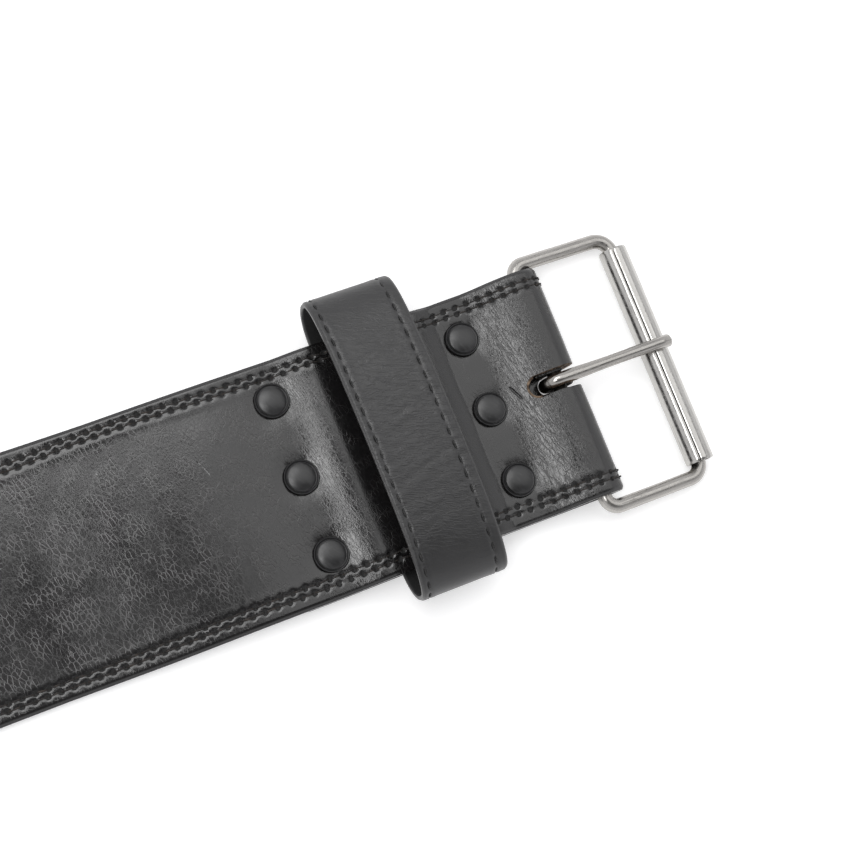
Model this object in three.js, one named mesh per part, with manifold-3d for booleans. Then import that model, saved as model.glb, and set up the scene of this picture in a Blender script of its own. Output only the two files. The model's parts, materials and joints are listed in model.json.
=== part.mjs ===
// Leather weightlifting belt with a roller buckle, laid open and straight on a flat surface.
// Units are millimetres. X runs along the belt toward the buckle, Y across it, Z up.
// The origin is on the belt's underside, midway between its two rows of rivets.

import * as THREE from 'three';
import { mergeVertices } from 'three/addons/utils/BufferGeometryUtils.js';
import Module from 'manifold-3d';

const wasm = await Module();
wasm.setup();

// Fits
const CLEARANCE = 0.3;

// Strap: one thickness of leather, folded back under itself round the buckle bar
const STRAP_WIDTH = 100;
const STRAP_THICKNESS = 5;
const STRAP_LENGTH = 1060;
const TONGUE_ROUNDING = 44;
const RAMP_LENGTH = 75;
const FLAP_TAIL = 15;

// Holes along the tongue for the prong
const HOLE_COUNT = 8;
const HOLE_DIAMETER = 7;
const HOLE_PITCH = 30;
const FIRST_HOLE_FROM_TIP = 70;

// Rivets: two rows of three through both layers
const ROW_SPAN = 84;
const RIVETS_PER_ROW = 3;
const REAR_RIVET_FROM_EDGE = 17;
const FRONT_RIVET_FROM_EDGE = 18.6;
const PINCH_HALF_LENGTH = 8;
const FLANGE_DIAMETER = 14.8;
const FLANGE_THICKNESS = 0.9;
const DOME_DIAMETER = 12.4;
const DOME_HEIGHT = 2.9;
const POST_DIAMETER = 4;
const BACK_HEAD_DIAMETER = 11;
const BACK_HEAD_THICKNESS = 1.2;
const BACK_HEAD_INSET = 0.2;

// Keeper: a closed leather loop whose lower run lies between the strap's two layers
const KEEPER_WIDTH = 37;
const KEEPER_THICKNESS = 2.4;
const KEEPER_SPAN = 128.4;
const KEEPER_HEIGHT = 30.7;
const KEEPER_SHOULDER_HEIGHT = 14.5;
const KEEPER_FLAT_INSET = 2;
const KEEPER_SHIFT_X = 0.75;
const KEEPER_SHIFT_Y = 0.7;
const BULGE_MARGIN = 3;

// Buckle frame: one round wire bent to a rectangle, its ends meeting inside the fold
const WIRE_DIAMETER = 6.2;
const FRAME_SIDE_PLAY = 1.7;
const FRAME_SHIFT_Y = -1;
const BAR_SPACING = 46.9;
const BAR_FROM_FRONT_ROW = 32.4;
const BAR_PLAY = 0.75;
const BAR_CORNER_RADIUS = 5.2;
const ROLLER_CORNER_RADIUS = 7;
const WIRE_BUTT_GAP = 0.3;

// Roller: sheet metal rolled to a tube with an open seam, whose bore is wide enough for the
// wire to lie near its bottom
const ROLLER_DIAMETER = 12.2;
const ROLLER_WALL = 1.2;
const ROLLER_BAR_GAP = 0.5;
const ROLLER_LENGTH = 98;
const ROLLER_SHIFT_Y = -0.6;
const SEAM_WIDTH = 0.5;
const SEAM_ANGLE_FROM_TOP = 18;

// Prong and the slot in the fold that it works in. In the flap underneath, the slot reaches
// only far enough to leave the prong's eye some room.
const PRONG_DIAMETER = 5;
const PRONG_EYE_PLAY = 0.35;
const PRONG_PAST_ROLLER = 4;
const PRONG_TIP_DROP = 0.9;
const PRONG_EYE_END_ANGLE = -12;
const SLOT_WIDTH = 8;
const SLOT_DEPTH = 23.8;
const SLOT_SHIFT_Y = 1.6;
const SLOT_EYE_ROOM = 0.6;

// Facets
const EASE_STEPS = 8;
const FOLD_STEPS = 14;
const TONGUE_STEPS = 16;
const SLOT_STEPS = 8;
const HOLE_SIDES = 16;
const RIVET_SIDES = 20;
const WIRE_SIDES = 12;
const WIRE_STEPS = 120;
const PRONG_STEPS = 40;
const KEEPER_STEPS = 10;
const ROLLER_ARC_STEPS = 28;
const DOME_STEPS = 4;

// Places worked out from the sizes above
const REAR_ROW_X = -ROW_SPAN / 2;
const FRONT_ROW_X = ROW_SPAN / 2;
const FLAP_END_X = REAR_ROW_X - FLAP_TAIL;
const WIRE_RADIUS = WIRE_DIAMETER / 2;
const PRONG_RADIUS = PRONG_DIAMETER / 2;
const ROLLER_RADIUS = ROLLER_DIAMETER / 2;
const EYE_RADIUS = WIRE_RADIUS + PRONG_EYE_PLAY + PRONG_RADIUS;
const BAR_X = FRONT_ROW_X + BAR_FROM_FRONT_ROW;
const BAR_Z = Math.max(STRAP_THICKNESS + WIRE_RADIUS + BAR_PLAY, EYE_RADIUS + PRONG_RADIUS + CLEARANCE);
const FOLD_INNER_RADIUS = BAR_Z - STRAP_THICKNESS;
const NOSE_X = BAR_X + FOLD_INNER_RADIUS + STRAP_THICKNESS;
const TIP_X = NOSE_X - STRAP_LENGTH;
const SLOT_END_X = NOSE_X - SLOT_DEPTH;
const FLAP_SLOT_END_X = BAR_X - EYE_RADIUS - PRONG_RADIUS - SLOT_EYE_ROOM;
const SEAT_Z = STRAP_THICKNESS + CLEARANCE;
const RIVET_SEAT_Z = SEAT_Z + STRAP_THICKNESS + CLEARANCE;
const KEEPER_LOW_X = KEEPER_SHIFT_X - KEEPER_WIDTH / 2;
const KEEPER_HIGH_X = KEEPER_SHIFT_X + KEEPER_WIDTH / 2;
const KEEPER_FLAT = STRAP_WIDTH / 2 - KEEPER_FLAT_INSET;
const FRAME_HALF_WIDTH = STRAP_WIDTH / 2 + FRAME_SIDE_PLAY + WIRE_RADIUS;
const ROLLER_BAR_Z = ROLLER_WALL + ROLLER_BAR_GAP + WIRE_RADIUS;
const ROLLER_LIFT = ROLLER_RADIUS - ROLLER_BAR_Z;
const FRAME_TILT = Math.asin((BAR_Z - ROLLER_BAR_Z) / BAR_SPACING);
const TOOL_LOW_Z = -STRAP_THICKNESS;
const TOOL_HIGH_Z = BAR_Z + FOLD_INNER_RADIUS + 2 * STRAP_THICKNESS;

// Underside of the upper layer, from the tongue to the bar: it lies on the surface, climbs onto
// the flap, is held down at each rivet row, and is lifted by the keeper and by the bar.
const UPPER_LAYER = [
  { x: FLAP_END_X - RAMP_LENGTH, z: 0 },
  { x: FLAP_END_X - CLEARANCE, z: SEAT_Z },
  { x: REAR_ROW_X + PINCH_HALF_LENGTH, z: SEAT_Z },
  { x: KEEPER_LOW_X - BULGE_MARGIN, z: SEAT_Z + KEEPER_THICKNESS + CLEARANCE },
  { x: KEEPER_HIGH_X + BULGE_MARGIN, z: SEAT_Z + KEEPER_THICKNESS + CLEARANCE },
  { x: FRONT_ROW_X - PINCH_HALF_LENGTH, z: SEAT_Z },
  { x: FRONT_ROW_X + PINCH_HALF_LENGTH, z: SEAT_Z },
  { x: BAR_X, z: BAR_Z + FOLD_INNER_RADIUS },
];

// Width of the prong along its length, as shares of its wire: full at the eye, drawn thinner
// in the middle and beaten wider at the tip. at is the share of the way from bar to tip.
const PRONG_WIDTHS = [
  { at: 0.15, width: 1.1 },
  { at: 0.45, width: 0.98 },
  { at: 0.85, width: 1.0 },
  { at: 1.0, width: 1.12 },
];

// Half of the keeper's outline, as handles of two curves. y is the share of the way from the
// end of the flat lower run out to the loop's end for the lower curve, and from the middle out
// to the loop's end for the upper one; z is the share of the shoulder's rise, or of the crown's.
const KEEPER_LOWER_HANDLES = { firstY: 0.62, secondZ: 0.4 };
const KEEPER_UPPER_HANDLES = { firstZ: 0.68, secondY: 0.75 };

// Returns a smooth step from 0 to 1 with level ends.
function ease(t) {
  return t * t * (3 - 2 * t);
}

// Returns points along a line that eases from row to row of a table of x and z.
function easedLine(rows) {
  const points = [new THREE.Vector2(rows[0].x, rows[0].z)];
  for (let i = 1; i < rows.length; i += 1) {
    const from = rows[i - 1];
    const to = rows[i];
    const steps = from.z === to.z ? 1 : EASE_STEPS;
    for (let k = 1; k <= steps; k += 1) {
      const t = k / steps;
      points.push(new THREE.Vector2(
        THREE.MathUtils.lerp(from.x, to.x, t),
        THREE.MathUtils.lerp(from.z, to.z, ease(t)),
      ));
    }
  }
  return points;
}

// Returns the points of a path moved sideways to its left by a distance.
function offsetPath(points, distance, closed) {
  const count = points.length;
  return points.map((point, i) => {
    const before = closed ? points[(i + count - 1) % count] : points[Math.max(i - 1, 0)];
    const after = closed ? points[(i + 1) % count] : points[Math.min(i + 1, count - 1)];
    const along = new THREE.Vector2().subVectors(after, before).normalize();
    return new THREE.Vector2(point.x - along.y * distance, point.y + along.x * distance);
  });
}

// Returns an extrusion of a shape drawn in X and Z, centred on Y = 0.
function acrossBelt(shape, width, curveSegments) {
  const geometry = new THREE.ExtrudeGeometry(shape, { depth: width, bevelEnabled: false, curveSegments });
  geometry.translate(0, 0, -width / 2);
  geometry.rotateX(Math.PI / 2);
  return geometry;
}

// Returns an upright prism of a shape drawn in X and Y, from a height to far above the belt.
function uprightTool(shape, lowZ, curveSegments) {
  const depth = TOOL_HIGH_Z - lowZ;
  const geometry = new THREE.ExtrudeGeometry(shape, { depth, bevelEnabled: false, curveSegments });
  geometry.translate(0, 0, lowZ);
  return geometry;
}

// Returns an upright round tool between two heights.
function drill(x, y, diameter, lowZ, highZ, sides) {
  const height = highZ - lowZ;
  const geometry = new THREE.CylinderGeometry(diameter / 2, diameter / 2, height, sides);
  geometry.rotateX(Math.PI / 2);
  geometry.translate(x, y, lowZ + height / 2);
  return geometry;
}

// Turns a closed geometry into a solid that can be cut and joined.
function toSolid(geometry) {
  const bare = geometry.clone();
  bare.deleteAttribute('normal');
  bare.deleteAttribute('uv');
  const merged = mergeVertices(bare, 1e-4);
  const vertProperties = new Float32Array(merged.attributes.position.array);
  const triVerts = new Uint32Array(merged.index.array);
  return new wasm.Manifold(new wasm.Mesh({ numProp: 3, vertProperties, triVerts }));
}

// Turns a solid back into a geometry.
function toGeometry(solid) {
  const mesh = solid.getMesh();
  const geometry = new THREE.BufferGeometry();
  geometry.setAttribute('position', new THREE.BufferAttribute(new Float32Array(mesh.vertProperties), 3));
  geometry.setIndex(new THREE.BufferAttribute(new Uint32Array(mesh.triVerts), 1));
  geometry.computeVertexNormals();
  return geometry;
}

// Lists the places of all rivets, the rear row first.
function rivetPlaces() {
  const rows = [
    { row: 'rear', x: REAR_ROW_X, fromEdge: REAR_RIVET_FROM_EDGE },
    { row: 'front', x: FRONT_ROW_X, fromEdge: FRONT_RIVET_FROM_EDGE },
  ];
  return rows.flatMap(({ row, x, fromEdge }) => Array.from({ length: RIVETS_PER_ROW }, (_, i) => ({
    name: `rivet_${row}_${i + 1}`,
    x,
    y: (2 * i / (RIVETS_PER_ROW - 1) - 1) * (STRAP_WIDTH / 2 - fromEdge),
  })));
}

// Builds the strap's side view: tongue, ramp, upper layer, fold and the flap underneath.
function strapProfile() {
  const inner = [new THREE.Vector2(TIP_X, 0), ...easedLine(UPPER_LAYER)];
  for (let k = 1; k <= FOLD_STEPS; k += 1) {
    const angle = Math.PI / 2 - (k / FOLD_STEPS) * Math.PI;
    inner.push(new THREE.Vector2(
      BAR_X + FOLD_INNER_RADIUS * Math.cos(angle),
      BAR_Z + FOLD_INNER_RADIUS * Math.sin(angle),
    ));
  }
  inner.push(new THREE.Vector2(FLAP_END_X, STRAP_THICKNESS));
  const outer = offsetPath(inner, STRAP_THICKNESS, false);
  return new THREE.Shape([...inner, ...outer.reverse()]);
}

// Builds the strap's outline from above: straight sides and a rounded tongue.
function strapPlan() {
  const plan = new THREE.Shape();
  const half = STRAP_WIDTH / 2;
  const past = NOSE_X + STRAP_THICKNESS;
  plan.moveTo(past, -half);
  plan.lineTo(past, half);
  plan.lineTo(TIP_X + TONGUE_ROUNDING, half);
  plan.absellipse(TIP_X + TONGUE_ROUNDING, 0, TONGUE_ROUNDING, half, Math.PI / 2, Math.PI * 1.5, false, 0);
  return plan;
}

// Builds a slot's outline from above: round at its end, open past the fold.
function slotPlan(endX) {
  const slot = new THREE.Shape();
  const half = SLOT_WIDTH / 2;
  const past = NOSE_X + STRAP_THICKNESS;
  slot.moveTo(past, SLOT_SHIFT_Y - half);
  slot.lineTo(past, SLOT_SHIFT_Y + half);
  slot.absarc(endX + half, SLOT_SHIFT_Y, half, Math.PI / 2, Math.PI * 1.5, false);
  return slot;
}

function strapGeometry() {
  const widerThanPlan = STRAP_WIDTH + 2 * STRAP_THICKNESS;
  let strap = toSolid(acrossBelt(strapProfile(), widerThanPlan, 1));
  strap = strap.intersect(toSolid(uprightTool(strapPlan(), TOOL_LOW_Z, TONGUE_STEPS)));
  strap = strap.subtract(toSolid(uprightTool(slotPlan(SLOT_END_X), SEAT_Z, SLOT_STEPS)));
  strap = strap.subtract(toSolid(uprightTool(slotPlan(FLAP_SLOT_END_X), TOOL_LOW_Z, SLOT_STEPS)));
  for (const { x, y } of rivetPlaces()) {
    const bore = POST_DIAMETER + 2 * CLEARANCE;
    const recess = BACK_HEAD_DIAMETER + 2 * CLEARANCE;
    const recessTop = BACK_HEAD_INSET + BACK_HEAD_THICKNESS + CLEARANCE;
    strap = strap.subtract(toSolid(drill(x, y, bore, TOOL_LOW_Z, TOOL_HIGH_Z, HOLE_SIDES)));
    strap = strap.subtract(toSolid(drill(x, y, recess, TOOL_LOW_Z, recessTop, RIVET_SIDES)));
  }
  for (let i = 0; i < HOLE_COUNT; i += 1) {
    const x = TIP_X + FIRST_HOLE_FROM_TIP + i * HOLE_PITCH;
    strap = strap.subtract(toSolid(drill(x, 0, HOLE_DIAMETER, TOOL_LOW_Z, TOOL_HIGH_Z, HOLE_SIDES)));
  }
  return toGeometry(strap);
}

// Builds a rivet about its own axis: back head, post, flange with a groove, and dome.
function rivetGeometry() {
  const flangeRadius = FLANGE_DIAMETER / 2;
  const domeRadius = DOME_DIAMETER / 2;
  const backTop = BACK_HEAD_INSET + BACK_HEAD_THICKNESS;
  const flangeTop = RIVET_SEAT_Z + FLANGE_THICKNESS;
  const grooveZ = RIVET_SEAT_Z + FLANGE_THICKNESS / 2;
  const rimRadius = (flangeRadius + domeRadius) / 2;
  const profile = [
    new THREE.Vector2(0, BACK_HEAD_INSET),
    new THREE.Vector2(BACK_HEAD_DIAMETER / 2, BACK_HEAD_INSET),
    new THREE.Vector2(BACK_HEAD_DIAMETER / 2, backTop),
    new THREE.Vector2(POST_DIAMETER / 2, backTop),
    new THREE.Vector2(POST_DIAMETER / 2, RIVET_SEAT_Z),
    new THREE.Vector2(flangeRadius, RIVET_SEAT_Z),
    new THREE.Vector2(flangeRadius, grooveZ),
    new THREE.Vector2(rimRadius, flangeTop),
    new THREE.Vector2(domeRadius, grooveZ),
  ];
  for (let k = 1; k <= DOME_STEPS; k += 1) {
    const angle = (k / DOME_STEPS) * (Math.PI / 2);
    const radius = k === DOME_STEPS ? 0 : domeRadius * Math.cos(angle);
    profile.push(new THREE.Vector2(radius, flangeTop + (DOME_HEIGHT - FLANGE_THICKNESS) * Math.sin(angle)));
  }
  const geometry = new THREE.LatheGeometry(profile, RIVET_SIDES);
  geometry.rotateX(Math.PI / 2);
  return geometry;
}

// Builds one side of the keeper's middle line, from the lower run's end up to the crown.
function keeperSide() {
  const lowZ = SEAT_Z + KEEPER_THICKNESS / 2;
  const crownZ = SEAT_Z + KEEPER_HEIGHT - KEEPER_THICKNESS / 2;
  const shoulderZ = SEAT_Z + KEEPER_SHOULDER_HEIGHT;
  const endY = (KEEPER_SPAN - KEEPER_THICKNESS) / 2;
  const side = new THREE.Path();
  side.moveTo(KEEPER_FLAT, lowZ);
  side.bezierCurveTo(
    THREE.MathUtils.lerp(KEEPER_FLAT, endY, KEEPER_LOWER_HANDLES.firstY),
    lowZ,
    endY,
    THREE.MathUtils.lerp(lowZ, shoulderZ, KEEPER_LOWER_HANDLES.secondZ),
    endY,
    shoulderZ,
  );
  side.bezierCurveTo(
    endY,
    THREE.MathUtils.lerp(shoulderZ, crownZ, KEEPER_UPPER_HANDLES.firstZ),
    endY * KEEPER_UPPER_HANDLES.secondY,
    crownZ,
    0,
    crownZ,
  );
  return side.getPoints(KEEPER_STEPS);
}

function keeperGeometry() {
  const right = keeperSide();
  const left = right.slice(0, -1).reverse().map((point) => new THREE.Vector2(-point.x, point.y));
  const middle = [...right, ...left];
  const outline = new THREE.Shape(offsetPath(middle, -KEEPER_THICKNESS / 2, true));
  outline.holes.push(new THREE.Path(offsetPath(middle, KEEPER_THICKNESS / 2, true)));
  const geometry = acrossBelt(outline, KEEPER_WIDTH, KEEPER_STEPS);
  geometry.rotateZ(Math.PI / 2);
  return geometry;
}

// A flat arc in X and Y about a centre.
class FlatArc extends THREE.Curve {
  constructor(centreX, centreY, radius, from, to) {
    super();
    Object.assign(this, { centreX, centreY, radius, from, to });
  }

  getPoint(t, target = new THREE.Vector3()) {
    const angle = THREE.MathUtils.lerp(this.from, this.to, t);
    return target.set(
      this.centreX + this.radius * Math.cos(angle),
      this.centreY + this.radius * Math.sin(angle),
      0,
    );
  }
}

// Returns a round section with its corners on the axes.
function roundSection(radius, sides) {
  return new THREE.Shape(Array.from({ length: sides }, (_, i) => {
    const angle = (i / sides) * 2 * Math.PI;
    return new THREE.Vector2(radius * Math.cos(angle), radius * Math.sin(angle));
  }));
}

// Builds the frame's wire in its own plane: the bar lies on the Y axis, the roller's bar beyond.
function frameGeometry() {
  const half = FRAME_HALF_WIDTH;
  const far = BAR_SPACING;
  const barR = BAR_CORNER_RADIUS;
  const rollR = ROLLER_CORNER_RADIUS;
  const quarter = Math.PI / 2;
  const at = (x, y) => new THREE.Vector3(x, y, 0);
  const wire = new THREE.CurvePath();
  wire.add(new THREE.LineCurve3(at(0, -WIRE_BUTT_GAP / 2), at(0, barR - half)));
  wire.add(new FlatArc(barR, barR - half, barR, 2 * quarter, 3 * quarter));
  wire.add(new THREE.LineCurve3(at(barR, -half), at(far - rollR, -half)));
  wire.add(new FlatArc(far - rollR, rollR - half, rollR, 3 * quarter, 4 * quarter));
  wire.add(new THREE.LineCurve3(at(far, rollR - half), at(far, half - rollR)));
  wire.add(new FlatArc(far - rollR, half - rollR, rollR, 0, quarter));
  wire.add(new THREE.LineCurve3(at(far - rollR, half), at(barR, half)));
  wire.add(new FlatArc(barR, half - barR, barR, quarter, 2 * quarter));
  wire.add(new THREE.LineCurve3(at(0, half - barR), at(0, WIRE_BUTT_GAP / 2)));
  return new THREE.ExtrudeGeometry(roundSection(WIRE_RADIUS, WIRE_SIDES), {
    steps: WIRE_STEPS,
    extrudePath: wire,
  });
}

// Builds the roller's tube, open along its seam.
function rollerGeometry() {
  const innerRadius = ROLLER_RADIUS - ROLLER_WALL;
  const seam = Math.PI / 2 - THREE.MathUtils.degToRad(SEAM_ANGLE_FROM_TOP);
  const outerHalf = Math.asin(SEAM_WIDTH / 2 / ROLLER_RADIUS);
  const innerHalf = Math.asin(SEAM_WIDTH / 2 / innerRadius);
  const section = new THREE.Shape();
  section.absarc(0, 0, ROLLER_RADIUS, seam + outerHalf, seam - outerHalf + 2 * Math.PI, false);
  section.absarc(0, 0, innerRadius, seam - innerHalf + 2 * Math.PI, seam + innerHalf, true);
  return acrossBelt(section, ROLLER_LENGTH, ROLLER_ARC_STEPS);
}

// Builds the prong in X and Z about the bar: an eye round the bar, a straight shank that rests
// on the roller, and a tip that drops a little past it.
function prongPath() {
  const shankRise = ROLLER_LIFT + ROLLER_RADIUS + CLEARANCE + PRONG_RADIUS - EYE_RADIUS;
  const slope = Math.asin(shankRise / BAR_SPACING);
  const eyeTop = Math.PI / 2 + slope;
  const eyeEnd = THREE.MathUtils.degToRad(PRONG_EYE_END_ANGLE) + 2 * Math.PI;
  const onEye = (angle) => new THREE.Vector3(EYE_RADIUS * Math.cos(angle), EYE_RADIUS * Math.sin(angle), 0);
  const overRoller = new THREE.Vector3(BAR_SPACING, EYE_RADIUS + shankRise, 0);
  const tip = new THREE.Vector3(BAR_SPACING + PRONG_PAST_ROLLER, overRoller.y - PRONG_TIP_DROP, 0);
  const bendHandle = new THREE.Vector3(BAR_SPACING + PRONG_PAST_ROLLER / 2, overRoller.y, 0);
  const path = new THREE.CurvePath();
  path.add(new FlatArc(0, 0, EYE_RADIUS, eyeEnd, eyeTop));
  path.add(new THREE.LineCurve3(onEye(eyeTop), overRoller));
  path.add(new THREE.QuadraticBezierCurve3(overRoller, bendHandle, tip));
  return path;
}

// Returns the prong's width share at a place along X.
function prongWidth(x) {
  const at = x / (BAR_SPACING + PRONG_PAST_ROLLER);
  const last = PRONG_WIDTHS.length - 1;
  if (at <= PRONG_WIDTHS[0].at) return PRONG_WIDTHS[0].width;
  if (at >= PRONG_WIDTHS[last].at) return PRONG_WIDTHS[last].width;
  const next = PRONG_WIDTHS.findIndex((row) => row.at > at);
  const from = PRONG_WIDTHS[next - 1];
  const to = PRONG_WIDTHS[next];
  return THREE.MathUtils.lerp(from.width, to.width, ease((at - from.at) / (to.at - from.at)));
}

function prongGeometry() {
  const geometry = new THREE.ExtrudeGeometry(roundSection(PRONG_RADIUS, WIRE_SIDES), {
    steps: PRONG_STEPS,
    extrudePath: prongPath(),
  });
  const position = geometry.attributes.position;
  for (let i = 0; i < position.count; i += 1) {
    position.setZ(i, position.getZ(i) * prongWidth(position.getX(i)));
  }
  geometry.rotateX(Math.PI / 2);
  return geometry;
}

// Finishes
const strapLeather = () => new THREE.MeshStandardMaterial({ color: 0x1d1c1c, roughness: 0.5, metalness: 0 });
const keeperLeather = () => new THREE.MeshStandardMaterial({ color: 0x262627, roughness: 0.6, metalness: 0 });
const blackCap = () => new THREE.MeshStandardMaterial({ color: 0x1a1a1b, roughness: 0.45, metalness: 0.3 });
const nickel = () => new THREE.MeshStandardMaterial({ color: 0x9c9994, roughness: 0.28, metalness: 1 });

// Returns a named mesh.
function piece(name, geometry, material) {
  const mesh = new THREE.Mesh(geometry, material);
  mesh.name = name;
  return mesh;
}

const belt = new THREE.Group();

belt.add(piece('belt_strap', strapGeometry(), strapLeather()));

const keeper = piece('keeper_loop', keeperGeometry(), keeperLeather());
keeper.position.set(KEEPER_SHIFT_X, KEEPER_SHIFT_Y, 0);
belt.add(keeper);

for (const { name, x, y } of rivetPlaces()) {
  const rivet = piece(name, rivetGeometry(), blackCap());
  rivet.position.set(x, y, 0);
  belt.add(rivet);
}

const buckle = new THREE.Group();
buckle.position.set(BAR_X, FRAME_SHIFT_Y, BAR_Z);
buckle.rotation.y = FRAME_TILT;
belt.add(buckle);

buckle.add(piece('buckle_frame', frameGeometry(), nickel()));

const roller = piece('buckle_roller', rollerGeometry(), nickel());
roller.position.set(
  BAR_SPACING - ROLLER_LIFT * Math.sin(FRAME_TILT),
  ROLLER_SHIFT_Y,
  ROLLER_LIFT * Math.cos(FRAME_TILT),
);
buckle.add(roller);

const prong = piece('buckle_prong', prongGeometry(), nickel());
prong.position.y = SLOT_SHIFT_Y - FRAME_SHIFT_Y;
buckle.add(prong);

export default belt;
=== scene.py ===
"""Looks of a leather weightlifting belt with a roller buckle, laid open on a pale floor.

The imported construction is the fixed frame. Each class below makes one sub-assembly round it:
the folded strap, its stitching, the keeper, the rivets, the buckle, and the studio.
Lengths are metres: +X runs along the belt toward the buckle, +Y across it, +Z up.
"""

import json
import logging
import math
from collections.abc import Callable, Sequence
from dataclasses import dataclass, field
from enum import Enum

import bmesh
import bpy
import numpy as np
from mathutils import Matrix, Vector


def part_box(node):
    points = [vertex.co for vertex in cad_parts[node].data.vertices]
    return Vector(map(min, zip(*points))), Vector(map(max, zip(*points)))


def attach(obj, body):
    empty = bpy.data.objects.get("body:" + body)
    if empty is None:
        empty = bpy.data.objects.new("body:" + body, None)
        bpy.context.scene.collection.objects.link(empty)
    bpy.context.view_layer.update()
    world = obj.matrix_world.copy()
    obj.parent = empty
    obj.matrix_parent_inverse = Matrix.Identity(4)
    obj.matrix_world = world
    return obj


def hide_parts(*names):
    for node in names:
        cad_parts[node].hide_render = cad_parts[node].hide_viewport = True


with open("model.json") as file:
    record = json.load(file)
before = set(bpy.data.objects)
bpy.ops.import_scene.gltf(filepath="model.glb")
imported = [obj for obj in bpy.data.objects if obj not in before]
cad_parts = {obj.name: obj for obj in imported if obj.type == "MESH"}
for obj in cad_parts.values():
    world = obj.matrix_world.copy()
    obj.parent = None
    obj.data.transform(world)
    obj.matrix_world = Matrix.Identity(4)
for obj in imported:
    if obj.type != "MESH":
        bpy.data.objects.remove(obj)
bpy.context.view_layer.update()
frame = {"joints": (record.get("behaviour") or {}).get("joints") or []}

LOG = logging.getLogger("belt")
MM = 0.001
KEEPER_THICKNESS = 2.4 * MM
RIVET_NODES = [f"rivet_{row}_{number}" for row in ("rear", "front") for number in (1, 2, 3)]
Array = np.ndarray
Colour = tuple[float, float, float]


class Body(Enum):
    """The bodies that the pieces ride on."""

    STRAP = "strap"
    FRAME = "frame"
    ROLLER = "roller"
    PRONG = "prong"


class Slot(Enum):
    """The record's material slots."""

    STRAP = "strap_leather"
    KEEPER = "keeper_leather"
    RIVET = "rivet_black"
    BUCKLE = "buckle_nickel"
    ROLLER = "roller_nickel"


class Side(Enum):
    """The two long edges of the strap, by the sign of Y."""

    FAR = 1
    NEAR = -1


# How far the needle holes of each edge are shifted toward the tip, as a share of the pitch.
SEAM_START = {Side.FAR: 0.0, Side.NEAR: 0.35}


def smooth(value: Array, low: float, high: float) -> Array:
    """Steps smoothly from 0 to 1.

    Args:
        value: Numbers to step on.
        low: Where the step leaves 0.
        high: Where the step reaches 1.

    Returns:
        The step at each number.
    """
    t = np.clip((np.asarray(value, float) - low) / (high - low), 0.0, 1.0)
    return t * t * (3 - 2 * t)


def bell(distance: Array, width: float) -> Array:
    """Returns a bell of height 1 that falls off over a width."""
    return np.exp(-((np.asarray(distance, float) / width) ** 2))


def box_middle(node: str) -> tuple[float, float]:
    """Returns the X and Y of the middle of a node's box."""
    low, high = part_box(node)
    return (low.x + high.x) / 2, (low.y + high.y) / 2


@dataclass(frozen=True)
class Relief:
    """Smooth random relief over a flat pattern, the same on every run.

    Attributes:
        seed: Picks the pattern.
        cell_u: Size of a bump along the first direction.
        cell_v: Size of a bump along the second direction.
        lattice: Bumps along each side before the pattern comes again.
    """

    seed: int
    cell_u: float
    cell_v: float
    lattice: int = 64

    def at(self, u: Array, v: Array) -> Array:
        """Reads the relief.

        Args:
            u: Places along the first direction.
            v: Places along the second direction.

        Returns:
            Heights between -1 and 1.
        """
        table = np.random.default_rng(self.seed).uniform(-1, 1, (self.lattice, self.lattice))
        cell_u, cell_v = np.asarray(u) / self.cell_u, np.asarray(v) / self.cell_v
        low_u, low_v = np.floor(cell_u).astype(int), np.floor(cell_v).astype(int)
        ease_u, ease_v = smooth(cell_u - low_u, 0, 1), smooth(cell_v - low_v, 0, 1)
        height = np.zeros_like(ease_u)
        for step_u, part_u in ((0, 1 - ease_u), (1, ease_u)):
            for step_v, part_v in ((0, 1 - ease_v), (1, ease_v)):
                rows, columns = (low_u + step_u) % self.lattice, (low_v + step_v) % self.lattice
                height = height + table[rows, columns] * part_u * part_v
        return height


class Line:
    """A smooth line through close points, read by its length."""

    def __init__(self, points: Array) -> None:
        """Takes the points, one a row."""
        self.points = np.asarray(points, float)
        steps = np.linalg.norm(np.diff(self.points, axis=0), axis=1)
        self.marks = np.concatenate([[0.0], np.cumsum(steps)])
        self.length = float(self.marks[-1])

    def read(self, table: Array, length: Array) -> Array:
        """Reads a table that has a row for each of the line's points.

        Args:
            table: The table.
            length: Lengths along the line.

        Returns:
            The table's rows at those lengths.
        """
        return np.stack([np.interp(length, self.marks, column) for column in table.T], axis=-1)

    def at(self, length: Array) -> Array:
        """Returns the points at lengths along the line."""
        return self.read(self.points, length)

    def heading(self, length: Array) -> Array:
        """Returns the unit directions at lengths along the line."""
        reach = 0.2 * MM
        ahead = self.at(np.minimum(np.asarray(length) + reach, self.length))
        behind = self.at(np.maximum(np.asarray(length) - reach, 0))
        step = ahead - behind
        return step / np.linalg.norm(step, axis=-1, keepdims=True)


def offset(points: Array, distance: float) -> Array:
    """Moves a flat line sideways to its left.

    Args:
        points: Points of two numbers each.
        distance: How far to move it.

    Returns:
        The moved points.
    """
    step = np.gradient(points, axis=0)
    step /= np.linalg.norm(step, axis=1, keepdims=True)
    return points + distance * np.stack([-step[:, 1], step[:, 0]], axis=1)


Placing = Callable[[Array, Array], tuple[Array, dict[str, Array]]]


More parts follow.
